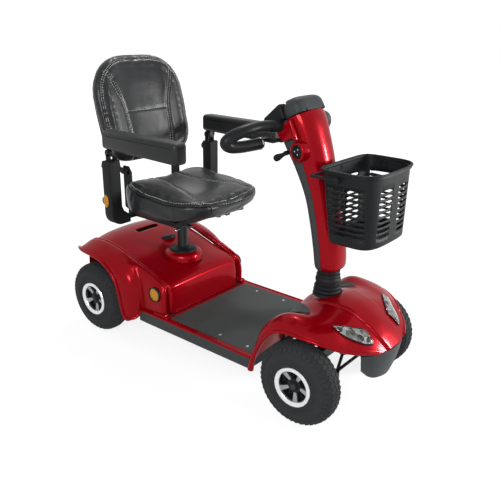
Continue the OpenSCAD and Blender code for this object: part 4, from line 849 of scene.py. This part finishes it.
def makeWheels():
    rim = fixNormals(joined([wheelTurned(wheel["rimRing"], 72, True)]))
    bases = ((makeTyre(), "treadTyre", tyreRubber, "tyre_"), (rim, "rimRing", silver, "rim_"),
             # the hub piece also carries the painted-shade sleeve and plate
             (makeSpokes(), "rimSpokes", cast, None), (makeHubAndShade(), "hubAndShade", black, None))
    for corner, (x, y, body) in wheel["places"].items():
        place = shiftBy(x, y, wheel["radius"]) @ Matrix.Rotation(pi if y > 0 else 0, 4, "Z")
        for base, name, finish, node in bases:
            stands = [node + corner] if node else ()
            makePiece(moved(base.copy(), place), name + corner.replace("_", ""), body, finish, stands, 32)
    for base in bases:
        base[0].free()


makeWheels()
print("wheels made")

# tiller covers: stations up the middle with place, slope, half width and depths in front and behind
tiller = {"line": [(366, 404, 2, 43, 34, 30), (365, 418, 4, 52, 43, 38), (357, 474, 9, 53, 46, 40),
                   (339, 554, 13, 52, 44, 40), (317, 634, 17, 52, 45, 42), (289, 714, 22, 60, 56, 50),
                   (259, 779, 25, 67, 64, 58), (241, 819, 27, 71, 66, 62), (231, 843, 29, 72, 61, 60)],
          "seam": 0.6, "wall": 3, "steps": (96, 56), "root": (236, -66, 812), "rootTurn": -24}


def coverRows(face):
    rows = []
    for x, z, slope, half, ahead, behind in tiller["line"]:
        row = []
        for i in range(9):
            q = -1 + 0.25 * i
            angle = radians(90 * q)
            depth = face * (tiller["seam"] + (ahead if face > 0 else behind) * max(0, cos(angle)) ** 0.75)
            wide = half * copysign(abs(sin(angle)) ** 0.85, q) if q else 0
            row.append((x + depth * cos(radians(slope)), wide, z + depth * sin(radians(slope))))
        rows.append(row)
    return rows


def makeTillerCovers():
    basketSlot = block((333, -15, 612), (413, 15, 670))
    barHole = rod((215, -120, 824), (215, 120, 824), 12)
    throttleHole = rod((222, -120, 785), (222, 120, 785), 6.5)
    for face, inside, name, finish, node, cutters in (
        (1, (280, 0, 620), "tillerFace", red, "tiller_front_cover", [basketSlot]),
        (-1, (340, 0, 620), "tillerBack", charcoal, "tiller_rear_cover", [barHole, throttleHole]),
    ):
        cutAway(makeShell(coverRows(face), {**tiller, "inside": inside}, name, "tiller", finish, [node]),
                cutters)
    for side in (-1, 1):
        # red root block where the bar leaves the head, with a raised bead down its front
        root = block((-34, -20, -26), (30, 12, 24), 7, 4)
        bmesh.ops.scale(root, vec=(0.72, 1, 1), verts=[v for v in root.verts if v.co.z < -0.004])
        bm = joined([root, block((20, -22, -34), (31, 2, 26), 4)])
        moved(bm, shiftBy(*tiller["root"]) @ Matrix.Rotation(radians(tiller["rootTurn"]), 4, "Y"))
        makePiece(onSide(bm, -side), "barRoot" + tails[side], "tiller", red, (), 30)


makeTillerCovers()
print("tiller covers made")

# console: rings across the head by place, half width and height, given in its own tilted frame
console = {"front": (256, 905), "slope": 29, "low": -39.7, "square": 0.46, "wall": 2.5, "steps": (80, 60),
           "inside": (190, 0, 840),
           "stations": [(6, 44, -39.6), (5, 44, -10), (0, 60, 0), (-12, 69, 8), (-30, 72, 11), (-45, 71, 7),
                        (-56, 67, 3), (-95, 58, -2), (-125, 54, -8), (-136, 50, -12), (-140, 44, -18),
                        (-140, 44, -39.6)],
           "wing": ((-130, 46, -39), (-52, 79, -3)), "wingRise": 14, "wingDrop": 3, "ridgeRadius": 2.2,
           "ridge": [(-6, 40, 0.5), (-30, 24, 4), (-52, 0, 4), (-30, -24, 4), (-6, -40, 0.5)]}


def onConsole(x, y, z):
    slope = radians(console["slope"])
    frontX, frontZ = console["front"]
    return (frontX + x * cos(slope) - z * sin(slope), y, frontZ + x * sin(slope) + z * cos(slope))


def makeConsole():
    low, square = console["low"], console["square"]
    rows = []
    for x, half, high in console["stations"]:
        row = []
        for i in range(21):
            angle = radians(9 * i)
            rise = (high - low) * max(0, sin(angle)) ** square
            row.append(onConsole(x, half * signedPower(cos(angle), square), low + rise))
        rows.append(row)
    bm = panelFrom(rows, console["steps"], console["inside"])
    bmesh.ops.remove_doubles(bm, verts=bm.verts[:], dist=0.05 * mm)
    giveThickness(makePiece(bm, "consoleCap", "tiller", charcoal, ["console"], 50), console["wall"])
    # a dark wing on each side towards the grips, and a raised ridge down the face
    start, end = console["wing"]
    for side in (-1, 1):
        wing = block(start, end, 6)
        bmesh.ops.scale(wing, vec=(1, 0.9, 1), verts=[v for v in wing.verts if v.co.x < -0.09])
        for vert in wing.verts:
            if vert.co.z > -0.02:
                share = (vert.co.x / mm - start[0]) / (end[0] - start[0])
                vert.co.z += (console["wingRise"] * share - console["wingDrop"]) * mm
        for vert in wing.verts:
            vert.co = Vector(onConsole(*(vert.co / mm))) * mm
        sidePiece(wing, side, "consoleWing", "tiller", black, (), 30)
    ridge = [onConsole(*place) for place in console["ridge"]]
    makePiece(tubeMesh([ridge], console["ridgeRadius"], 3), "consoleRidge", "tiller", charcoal)


makeConsole()
for node, body, finish, edge in (
    ("speed_dial", "dial", softBlack, 1.0), ("ignition_key", "key", zinc, 0.5),
    ("horn_button", "horn", softBlack, 0.6), ("light_button", "light", softBlack, 0.6),
    ("throttle_lever", "throttle", softBlack, 2.0), ("tiller_mast", "tiller", powder, 1.0),
):
    softened(node, body, finish, edge, 2)
print("console made")

lever = {"pivot": (232, -66.5, 748), "along": (-0.866, 0, -0.5),
         "club": [(0, 48), (6, 47.4), (9.4, 44), (10.6, 38), (10, 31), (8, 23), (6.4, 16), (6, 4)]}


def makeTiltLever():
    x, y, z = lever["pivot"]
    club = turned(lever["club"], lever["pivot"], lever["along"], 40)
    bm = fixNormals(joined([club, rod((x, y - 6, z), (x, y + 6, z), 7)]))
    makePiece(bm, "tiltClub", "tilt_handle", softBlack, ["tilt_lever"])


socket = {"place": (281, -70, 760), "axis": (-0.1736, -0.9848, 0), "pins": 3, "pinCircle": 8,
          "pinRadius": 2.2,
          "boss": [(29, -10), (28.5, 7), (27, 12), (23.5, 14.4), (20.5, 14), (19, 12), (19, 4)],
          "ring": [(13.4, 9), (13.6, 14), (15.6, 15.2), (18, 14), (18.6, 9)],
          "face": [(0, 10), (4, 10), (4.6, 12.5), (13.8, 11), (13.8, 6)]}


def makeSocket():
    place, axis = socket["place"], socket["axis"]
    turnedPiece(socket["boss"], place, axis, "socketBoss", "tiller", red, ["charge_socket"])
    turnedPiece(socket["ring"], place, axis, "socketRing", "tiller", black, steps=48)
    turnedPiece(socket["face"], place, axis, "socketFace", "tiller", black, steps=48)
    along, up = Vector(axis).normalized(), Vector(upward)
    across = along.cross(up).normalized()
    pins = []
    for i in range(socket["pins"]):
        angle = tau * i / socket["pins"]
        spot = Vector(place) + (across * cos(angle) + up * sin(angle)) * socket["pinCircle"]
        pins.append(rod(spot + along * 10, spot + along * 13.4, socket["pinRadius"], 20))
    makePiece(joined(pins), "socketPins", "tiller", zinc)


makeTiltLever()
makeSocket()

grip = {"barX": 215, "barZ": 824, "radius": 17,
        "path": [(0, 78, 0), (-1, 92, 1), (-12, 116, 3), (-24, 150, 3), (-32, 196, -2), (-45, 235, -14),
                 (-54, 253, -30), (-52, 239, -43), (-43, 206, -47), (-33, 168, -46), (-27, 140, -45)],
        "ring": [(10, 0), (17.6, 0.2), (17.8, 3.6), (10, 4)],
        "plug": [(0, 12), (11, 11.6), (14.5, 9), (15.5, 4), (15.5, 2)]}


def makeGrips():
    runs = [[(grip["barX"] + x, side * y, grip["barZ"] + z) for x, y, z in grip["path"]] for side in (-1, 1)]
    makePiece(tubeMesh(runs, grip["radius"], 7), "loopGrips", "tiller", gripVinyl, ["grips"])
    # bright ring and plug at the inner end of each return
    for side, run in zip((-1, 1), runs):
        end, before = Vector(run[-1]), Vector(run[-2])
        axis = (end - before).normalized()
        turnedPiece(grip["ring"], end, axis, "gripRing" + tails[side], "tiller", zinc, steps=40)
        turnedPiece(grip["plug"], end, axis, "gripPlug" + tails[side], "tiller", gripVinyl, steps=40)


makeGrips()
print("grips made")

# basket; its windows have a centre and half width as a share of the way round, and a lean of their inner end
tub = {"x": 384, "z": 740, "long": 171, "wide": 262, "high": 213, "taperX": 28, "taperY": 15, "front": 3,
       "wall": 3, "rows": 9, "low": 33, "pitch": 15.6, "slot": 9.6, "spread": 7.5, "count": 200, "fine": 4000,
       "inside": (467, 0, 640), "bow": 2 / 3.5, "square": 2 / 6.5, "foot": 8, "flange": -4, "rim": 3.2,
       "windows": [(0.067, 0.043, 0.012), (0.933, 0.043, -0.012), (0.25, 0.078, 0), (0.75, 0.078, 0),
                   (0.44, 0.045, 0), (0.56, 0.045, 0)],
       "boss": [(4.2, -3), (10, -2.6), (11, 0), (11, 5)]}


# a point s of the way round the tub from the middle of its bowed front; the back is square
def tubPoint(s, z, off=0):
    k = (tub["z"] - z) / tub["high"]
    x0, x1 = tub["x"] + k * tub["taperX"] + off, tub["x"] + tub["long"] + k * tub["front"] - off
    half = tub["wide"] / 2 - k * tub["taperY"] - off
    along, across = roundSquare(s, tub["bow"] if cos(tau * s) > 0 else tub["square"])
    return Vector(((x0 + x1) / 2 + (x1 - x0) / 2 * along, half * across, z))


# equal steps round the tub by arc length
def tubTurns():
    fine = [tubPoint(i / tub["fine"], tub["z"] - 60) for i in range(tub["fine"] + 1)]
    length = [0]
    for a, b in zip(fine, fine[1:]):
        length.append(length[-1] + (b - a).length)
    turns, at = [], 0
    for i in range(tub["count"]):
        while length[at] < length[-1] * i / tub["count"]:
            at += 1
        turns.append(at / tub["fine"])
    return turns


# 0 at a window's ends, 1 at its middle, nothing outside
def openShare(s, row):
    for centre, half, lean in tub["windows"]:
        d = abs((s - centre + lean * (row / tub["rows"] - 0.5) + 0.5) % 1 - 0.5)
        if d <= half + 1e-6:
            return max(0.0, 1 - (d / half) ** 2) ** 0.5
    return None


def tubMesh(turns):
    count, top, base = tub["count"], tub["z"], tub["z"] - tub["high"]
    levels, slots = [base + 2, base + 8, base + 20], []
    for i in range(tub["rows"]):
        low = base + tub["low"] + i * tub["pitch"]
        slots.append(len(levels))
        levels += [low, low + tub["slot"]]
    levels += [top - 30, top - 12, top - 11, top]
    last = len(levels) - 1
    bm = bmesh.new()
    bmesh.ops.create_grid(bm, x_segments=count, y_segments=last, size=1)
    index = {v: (round((v.co.x + 1) / 2 * count), round((v.co.y + 1) / 2 * last)) for v in bm.verts}
    for vert, (column, level) in index.items():
        z = levels[level]
        for i, first in enumerate(slots):
            share = openShare(column / count, i) if level in (first, first + 1) else None
            if share is not None:
                middle = (levels[first] + levels[first + 1]) / 2
                z = middle + (z - middle) * (0.25 + 0.75 * share)
        off = tub["foot"] if level == 0 else tub["flange"] if level >= last - 1 else 0
        vert.co = tubPoint(turns[column % count], z, off) * mm
    gone = []
    for face in bm.faces:
        column, low = (min(index[v][axis] for v in face.verts) for axis in (0, 1))
        if low in slots and openShare((column + 0.5) / count, slots.index(low)) is not None:
            gone.append(face)
    bmesh.ops.delete(bm, geom=gone, context="FACES")
    bmesh.ops.remove_doubles(bm, verts=bm.verts[:], dist=0.02 * mm)
    # floor
    ring = [e for e in bm.edges
            if e.is_boundary and all(abs(v.co.z - (base + 2) * mm) < 0.1 * mm for v in e.verts)]
    bmesh.ops.holes_fill(bm, edges=ring, sides=0)
    return faceOut(fixNormals(bm), tub["inside"])


def makeBasket():
    turns = tubTurns()
    giveThickness(makePiece(tubMesh(turns), "basketTub", "tub", black, ["basket"], 40), tub["wall"])
    # rolled rim, hook plate and handle bosses
    ring = [tubPoint(t, tub["z"] - 3, tub["flange"]) for t in turns]
    makePiece(tubeMesh([ring], tub["rim"], 3, False, True), "basketRim", "tub", black)
    hook = [block((370.4, -32, 686.2), (393, 32, 692.2), 1.2, 2),
            block((370.4, -32, 672.2), (375.6, 32, 687.2), 1.2, 2)]
    makePiece(joined(hook), "basketHook", "tub", black)
    for side in (-1, 1):
        name, place = "handleBoss" + tails[side], (450, side * 128, 718)
        turnedPiece(tub["boss"], place, (0, -side, 0), name, "tub", black, steps=32)
    # the bail's legs stand clear of the rolled rim
    bail = cadCopy("basket_handle")
    for vert in bail.verts:
        if abs(vert.co.y) > 110 * mm:
            vert.co.y += copysign(tub["spread"] * mm, vert.co.y)
    roundEdges(makePiece(bail, "basketBail", "bail", black, ["basket_handle"]), 0.8, 2)


makeBasket()
print("basket made")

# padded pieces: remesh, swell with cloth under pressure, cap the movement, then sew
cloth = {"quality": 4, "pressure": 4.0, "frames": 20, "smoothing": 4}


def swell(bm, name, voxel, cap, held):
    mesh = bpy.data.meshes.new(name)
    bm.to_mesh(mesh)
    bm.free()
    pad = addObject(name, mesh)
    remesh = pad.modifiers.new("remesh", "REMESH")
    remesh.mode, remesh.voxel_size = "VOXEL", voxel * mm
    bpy.context.view_layer.update()
    pad.data = shownMesh(pad)
    pad.modifiers.clear()
    rest = [v.co.copy() for v in pad.data.vertices]
    group = pad.vertex_groups.new(name="held")
    group.add([i for i, co in enumerate(rest) if held(co / mm)], 1.0, "REPLACE")
    settings = pad.modifiers.new("cloth", "CLOTH").settings
    settings.quality = cloth["quality"]
    settings.use_pressure = True
    settings.uniform_pressure_force = cloth["pressure"]
    settings.effector_weights.gravity = 0
    settings.vertex_group_mass = "held"
    for frameNumber in range(1, cloth["frames"] + 1):
        bpy.context.scene.frame_set(frameNumber)
    swollen = shownMesh(pad)
    pad.modifiers.clear()
    pad.vertex_groups.clear()
    bpy.context.scene.frame_set(1)
    for vert, start in zip(swollen.vertices, rest):
        step = vert.co - start
        if step.length > cap * mm:
            step *= cap * mm / step.length
        vert.co = start + step
    pad.data = swollen
    out = bmesh.new()
    out.from_mesh(pad.data)
    bpy.data.objects.remove(pad)
    for _ in range(cloth["smoothing"]):
        bmesh.ops.smooth_vert(out, verts=out.verts[:], factor=0.5,
                              use_axis_x=True, use_axis_y=True, use_axis_z=True)
    out.normal_update()
    return out


# where lines of points meet the surface, looking along a direction
def onSurface(tree, line, direction, back=120):
    direction = Vector(direction).normalized()
    out = []
    for p in line:
        hit, normal, _, _ = tree.ray_cast(Vector(p) * mm - direction * back * mm, direction)
        if hit is not None:
            out.append((hit, normal))
    return out


# draw the surface in along lines
def sewn(bm, lines, depth, width):
    spots = [spot for line in lines for spot, _ in line]
    tree = KDTree(len(spots))
    for k, spot in enumerate(spots):
        tree.insert(spot, k)
    tree.balance()
    for vert in bm.verts:
        _, _, distance = tree.find(vert.co)
        if distance < width * mm:
            share = 1 - (distance / (width * mm)) ** 2
            vert.co -= vert.normal * depth * mm * share * share
    bm.normal_update()


stitch = {"dash": 6.0, "space": 2.6, "radius": 0.75, "lift": 0.35}


# stitches along each line, or in a row on either side of it where there is a gap
def stitches(tree, lines, gap, name, body):
    runs = []
    for line in lines:
        for side in (-1, 1) if gap else (0,):
            travelled, current = 0.0, []
            for (a, normal), (b, _) in zip(line, line[1:]):
                spot = a + (b - a).cross(normal).normalized() * gap * side * mm
                hit, up, _, _ = tree.find_nearest(spot)
                if hit is None:
                    continue
                travelled += (b - a).length / mm
                if travelled % (stitch["dash"] + stitch["space"]) < stitch["dash"]:
                    current.append((hit + up * stitch["lift"] * mm) / mm)
                    continue
                if len(current) > 1:
                    runs.append(current)
                current = []
            if len(current) > 1:
                runs.append(current)
    makePiece(tubeMesh(runs, stitch["radius"], 1, False), name, body, thread)


def finePath(points, spacing=1.6):
    points = [Vector(p) for p in points]
    length = sum((b - a).length for a, b in zip(points, points[1:]))
    count = max(2, int(length / spacing))
    return [alongCurve(points, i / count) for i in range(count + 1)]


def padPiece(bm, name, body, node):
    piece = makePiece(bm, name, body, leatherette, [node], 80)
    smooth = piece.modifiers.new("smooth", "SUBSURF")
    smooth.levels = smooth.render_levels = 1


seat = {"front": -28, "long": 364, "half": 202, "low": 470, "voxel": 5.5, "cap": 9, "bow": 3.4,
        "fuller": 1.032, "above": 560, "hollow": 12, "hollowX": -215, "hollowWide": 105, "fill": 0.75,
        "seam": [(-366, 52, 0), (-300, 54, 0), (-232, 70, 0), (-180, 84, 0), (-130, 108, 0), (-88, 122, 0),
                 (-50, 132, 0)]}
seatHalf = seat["long"] / 2
seatMiddle = seat["front"] - seatHalf


# the outline of the seat's top, drawn in by k
def seatEdge(k):
    fuller = seat["fuller"]
    points = []
    for i in range(121):
        along, across = roundSquare(i / 120, 0.4)
        x, y = (seatHalf - k) * along, (seat["half"] - k) * across
        wide = y * (1 - 0.04 * (x / seatHalf) ** 2) * rounder(x / seatHalf) * fuller
        points.append((seatMiddle + x + max(0, x) * (fuller - 1) * 2, wide, 0))
    return points


# how far the front corners draw in, u from the middle of the seat to its front
def rounder(u):
    u = min(0.985, max(0, u))
    return (1 - u ** seat["bow"]) ** (1 / seat["bow"]) / (1 - u ** 5) ** 0.2


def onSeat(tree, line, side=1):
    return onSurface(tree, [(x, y * side, seat["above"]) for x, y, z in line], (0, 0, -1))


def makeSeat():
    bm = swell(cadCopy("seat_cushion", 0.1), "seatPad", seat["voxel"], seat["cap"],
               lambda p: p.z < seat["low"] + 22)
    # rounder front corners; thighs and hips press a shallow hollow into the middle
    for vert in bm.verts:
        x, y, z = vert.co / mm
        vert.co.y *= rounder((x - seatMiddle) / seatHalf) * seat["fuller"]
        vert.co.x += max(0, x - seatMiddle) * (seat["fuller"] - 1) * 2 * mm
        if z > seat["low"] + 60:
            hollow = exp(-((x - seat["hollowX"]) / seat["hollowWide"]) ** 2 - (y / seat["hollowWide"]) ** 2)
            vert.co.z -= seat["hollow"] * mm * hollow
    bm.normal_update()
    tree = BVHTree.FromBMesh(bm)
    seams = [onSeat(tree, finePath(seat["seam"]), side) for side in (-1, 1)]
    edge = onSeat(tree, finePath(seatEdge(13)))
    sewn(bm, seams, 4.2, 7)
    sewn(bm, [edge], 1.4, 5)
    tree = BVHTree.FromBMesh(bm)
    padPiece(bm, "seatCushion", "seat", "seat_cushion")
    stitches(tree, seams, 3.6, "seatSeamThread", "seat")
    stitches(tree, [onSeat(tree, finePath(seatEdge(20)))], 0, "seatEdgeThread", "seat")
    # piping round the edge of the top
    cord = [(spot / mm) + normal * 0.6 for spot, normal in onSeat(tree, seatEdge(11))]
    makePiece(tubeMesh([cord[:-1]], 2.4, 3, False, True), "seatPiping", "seat", piping)


back = {"x": -398, "z": 626, "lean": 14, "high": 368, "wide": 404, "voxel": 5.5, "cap": 7, "inset": 17,
        "taller": 0.022, "wider": 1.024, "dip": 8, "dipWide": 105, "dipFrom": -14, "fill": 0.8,
        "seam": [(150, 318), (138, 290), (122, 250), (106, 215), (98, 175), (95, 120), (92, 60), (90, 14)],
        "cross": [(0, -98, 178), (0, 0, 176), (0, 98, 178)]}


# a point of the back in its own leaning frame
def onBack(x, y, z):
    lean = radians(-back["lean"])
    return (back["x"] + x * cos(lean) + z * sin(lean), y, back["z"] - x * sin(lean) + z * cos(lean))


# the seam along the top and the sides
def backRim():
    high = back["high"] / 2
    points = []
    for i in range(1, 60):
        angle = pi * (1.2 - 1.4 * i / 60)
        z = (high - back["inset"]) * signedPower(sin(angle), 0.588)
        u = z / high
        wide = 1 - 0.16 * u ** 3 if u > 0 else 1 - 0.04 * u * u
        across = (back["wide"] / 2 - back["inset"]) * signedPower(cos(angle), 0.588) * wide
        points.append((0, across, high + z))
    return points


def makeBack():
    bm = swell(cadCopy("back_cushion", 0.1), "backPad", back["voxel"], back["cap"], lambda p: False)
    lean = radians(back["lean"])
    inward = Vector((-cos(lean), 0, -sin(lean)))
    # the leather fills out upwards and to the sides, and the middle panel lies back between two bolsters
    foot = Vector(onBack(0, 0, 0))
    rise = Vector(onBack(0, 0, 1)) - foot
    for vert in bm.verts:
        vert.co += rise * max(0, (vert.co - foot * mm).dot(rise)) * back["taller"]
        vert.co.y *= back["wider"]
        away = (vert.co / mm - foot).dot(inward) * -1
        if away > back["dipFrom"]:
            vert.co += inward * back["dip"] * mm * max(0, 1 - (abs(vert.co.y / mm) / back["dipWide"]) ** 4)
    bm.normal_update()
    tree = BVHTree.FromBMesh(bm)

    def traced(line):
        return onSurface(tree, [onBack(0, y, z) for x, y, z in finePath(line)], inward)

    seams = [traced([(0, y * side, z) for y, z in back["seam"]]) for side in (-1, 1)]
    edge = traced(backRim())
    sewn(bm, [edge], 2.4, 6)
    cross = traced(back["cross"])
    sewn(bm, seams, 5.0, 9)
    sewn(bm, [cross], 1.6, 5)
    tree = BVHTree.FromBMesh(bm)
    padPiece(bm, "backCushion", "backrest", "back_cushion")
    for lines, gap, name in ((seams, 3.8, "Seam"), ([cross], 0, "Cross"), ([edge], 3.2, "Edge")):
        stitches(tree, lines, gap, "back" + name + "Thread", "backrest")


makeSeat()
makeBack()
print("seat and back made")

# armrest pads, uprights and what holds the seat
arm = {"x": -368, "long": 346, "wide": 55, "high": 61, "top": 766, "outer": 267, "drop": 7, "edge": 13,
       "fill": 0.85, "upright": -350, "inner": 221, "foot": 444.5, "elbow": 42, "head": 665, "pinZ": 691,
       "ears": (222.5, 248.5), "knob": [(0, -17), (10, -16.6), (13, -14.5), (14, -11), (14, 2)],
       "lens": [(0, 3.4), (7, 3), (11, 1.6), (12.5, 0), (12.5, -2)], "lensPlace": (-358, 268.4, 530)}


# the column bends in under the seat; ears on top carry the pad's pin
def makeUpright():
    x, outer, inner, foot, elbow, top = (
        arm[k] for k in ("upright", "outer", "inner", "foot", "elbow", "head"))
    outline = [(inner - 34, foot + 26), (inner - 34, foot)]
    for i in range(9):
        angle = radians(11.25 * i)
        outline.append((outer - elbow + elbow * sin(angle), foot + elbow - elbow * cos(angle)))
    outline += [(outer, top), (inner, top), (inner, foot + 62), (inner - 8, foot + 46)]
    bm = bmesh.new()
    face = bm.faces.new([bm.verts.new(Vector((x - 21, y, z)) * mm) for y, z in outline])
    grown = bmesh.ops.extrude_face_region(bm, geom=[face])["geom"]
    bmesh.ops.translate(bm, vec=(42 * mm, 0, 0),
                        verts=[g for g in grown if isinstance(g, bmesh.types.BMVert)])
    fixNormals(bm).normal_update()
    rim = [e for e in bm.edges if e.calc_face_angle(0) > 0.6]
    bevelEdges(bm, rim, 5, 4)
    parts = [bm, block((x - 13, 24, 454.5), (x + 13, inner - 28, 466.5), 1.5, 2)]
    for y in arm["ears"]:
        pin = arm["pinZ"]
        parts += [block((x - 9, y, top - 6), (x + 9, y + 8, pin), 1, 2),
                  rod((x, y, pin), (x, y + 8, pin), 12)]
    place = (x - 21, 243, 643)
    knob = faceOut(turned(arm["knob"], place, (1, 0, 0), 40), place)
    return joined([*parts, knob, rod((-362, 262, 530), (-362, 268.6, 530), 14.5, 40)])


def makeArms():
    low = (arm["x"], arm["outer"] - arm["wide"], arm["top"] - arm["high"])
    high = (arm["x"] + arm["long"], arm["outer"], arm["top"])
    midX, midY = (low[0] + high[0]) / 2, (low[1] + high[1]) / 2
    halfLong, halfWide = arm["long"] / 2, arm["wide"] / 2
    for side, node, letter in ((-1, "right", "r"), (1, "left", "l")):
        body, post = "pad_" + letter, "arm_" + letter
        pad = block(low, high, arm["edge"], 6)
        for vert in pad.verts:
            # the ends round in, the top is crowned and the front hangs lower
            x, y = (vert.co.x / mm - midX) / halfLong, (vert.co.y / mm - midY) / halfWide
            vert.co.y -= y * halfWide * mm * 0.16 * max(0, (abs(x) - 0.9) / 0.1) ** 2
            if vert.co.z / mm > high[2] - 15:
                vert.co.z -= 3 * mm * max(0, (abs(x) - 0.8) / 0.2) ** 2
            elif x > 0:
                vert.co.z -= arm["drop"] * mm * min(1, x)
        piece = sidePiece(pad, side, "armPad", body, armVinyl, ["armrest_pad_" + node], 50)
        # a fine welt round the pad below its top
        welt = []
        for i in range(96):
            angle = tau * (i + 0.5) / 96
            across = (halfWide + 0.2) * signedPower(sin(angle), 0.5)
            welt.append((midX + halfLong * signedPower(cos(angle), 0.14),
                         side * (midY + across), high[2] - 17))
        makePiece(tubeMesh([welt], 1.1, 2, False, True), "armWelt" + tails[side], body, armPiping)
        lug = [block((-362, 231.5, 679), (-338, 247.5, 707), 1.5, 2),
               rod((-350, 219.5, 691), (-350, 259.5, 691), 4.95, 24)]
        sidePiece(joined(lug), side, "armLug", body, powder)
        sidePiece(makeUpright(), side, "armPost", post, softBlack, ["armrest_upright_" + node], 34)
        # oval amber reflector on the outside of the upright
        lens = faceOut(turned(arm["lens"], (0, 0, 0), sideways, 40), (0, -20, 0))
        bmesh.ops.scale(lens, vec=(1, 1, 1.75), verts=lens.verts[:])
        bmesh.ops.translate(lens, vec=Vector(arm["lensPlace"]) * mm, verts=lens.verts[:])
        sidePiece(lens, side, "armReflector", post, amberLens)


makeArms()
bolt = [rod((-266, -38, 388), (-266, -32, 388), 6.4, 6), rod((-266, -42, 388), (-266, -37, 388), 3.2, 20)]
makePiece(joined(bolt), "postBolt", "post", zinc, (), 30)
for node, body, finish, edge in (
    ("seat_frame", "seat", softBlack, 1.5), ("back_shell", "backrest", softBlack, 2.0),
    ("swivel_plate", "swivel", powder, 1.0), ("swivel_lever", "swivel_handle", powder, 0.8),
):
    softened(node, body, finish, edge, 2)
print("armrests and seat frame made")


# floor, world and lights, each lamp with its place, size and power
stage = {"sky": 0.22, "glow": 1.17, "near": 0.7, "far": 2.3, "nearShare": 0.72, "paper": 0.86,
         "aim": (0, 0, 0.35), "floorZ": -0.0005, "floorSize": 9,
         "lamps": [("keyBox", (1.3, -2.5, 1.9), (1.3, 1.0), 62),
                   ("frontBox", (2.05, 1.55, 1.0), (0.3, 0.7), 62),
                   ("topBox", (-0.7, 1.25, 3.0), (0.4, 0.3), 24),
                   ("rearBox", (-2.4, -0.9, 1.9), (1.2, 0.9), 14)]}
whiteLight = (1, 1, 1, 1)


# 1 for the rays that show the surroundings themselves, 0 for those that only light the object
def seenDirectly(tree):
    path = addNode(tree, "LightPath")
    largest = {"operation": "MAXIMUM"}
    seen = addNode(tree, "Math", largest, {0: path["Is Camera Ray"], 1: path["Is Glossy Ray"]})
    return addNode(tree, "Math", largest, {0: seen[0], 1: path["Is Transmission Ray"]})[0]


def makeFloor():
    bm = bmesh.new()
    bmesh.ops.create_grid(bm, x_segments=1, y_segments=1, size=stage["floorSize"])
    mesh = bpy.data.meshes.new("studioFloor")
    bm.to_mesh(mesh)
    bm.free()
    floor = addObject("studioFloor", mesh)
    floor.location.z = stage["floorZ"]
    material = bpy.data.materials.new("paperFloor")
    material.use_nodes = True
    tree = material.node_tree
    tree.nodes.clear()
    seen = seenDirectly(tree)
    # the paper fades to white away from the object, so no far edge shows
    place = addNode(tree, "TexCoord")["Object"]
    distance = addNode(tree, "VectorMath", {"operation": "LENGTH"}, {0: place})["Value"]
    reach = {"From Min": stage["near"], "From Max": stage["far"], "To Min": stage["nearShare"], "To Max": 1.0}
    fade = addNode(tree, "MapRange", reach, {"Value": distance})["Result"]
    share = addNode(tree, "Math", {"operation": "MULTIPLY"}, {0: seen, 1: fade})
    paper = addNode(tree, "BsdfDiffuse", {"Color": (stage["paper"], stage["paper"], stage["paper"], 1)})
    glow = addNode(tree, "Emission", {"Color": whiteLight, "Strength": stage["glow"]})
    mix = addNode(tree, "MixShader", None, {"Fac": share[0], 1: paper[0], 2: glow[0]})
    addNode(tree, "OutputMaterial", None, {"Surface": mix[0]})
    mesh.materials.append(material)


def makeWorld():
    world = bpy.data.worlds.new("studio")
    bpy.context.scene.world = world
    world.use_nodes = True
    tree = world.node_tree
    tree.nodes.clear()
    seen = seenDirectly(tree)
    dim, white = (addNode(tree, "Background", {"Color": whiteLight, "Strength": s})
                  for s in (stage["sky"], 1.0))
    mix = addNode(tree, "MixShader", None, {"Fac": seen, 1: dim[0], 2: white[0]})
    addNode(tree, "OutputWorld", None, {"Surface": mix[0]})


def makeLights():
    for name, place, size, power in stage["lamps"]:
        data = bpy.data.lights.new(name, "AREA")
        data.shape, data.size, data.size_y, data.energy = "RECTANGLE", size[0], size[1], power
        box = addObject(name, data)
        box.location = place
        box.visible_glossy = name != "rearBox"
        box.rotation_euler = (Vector(stage["aim"]) - Vector(place)).to_track_quat("-Z", "Y").to_euler()


makeFloor()
makeWorld()
makeLights()
bpy.context.scene.view_settings.view_transform = "Standard"
print("stage lit")
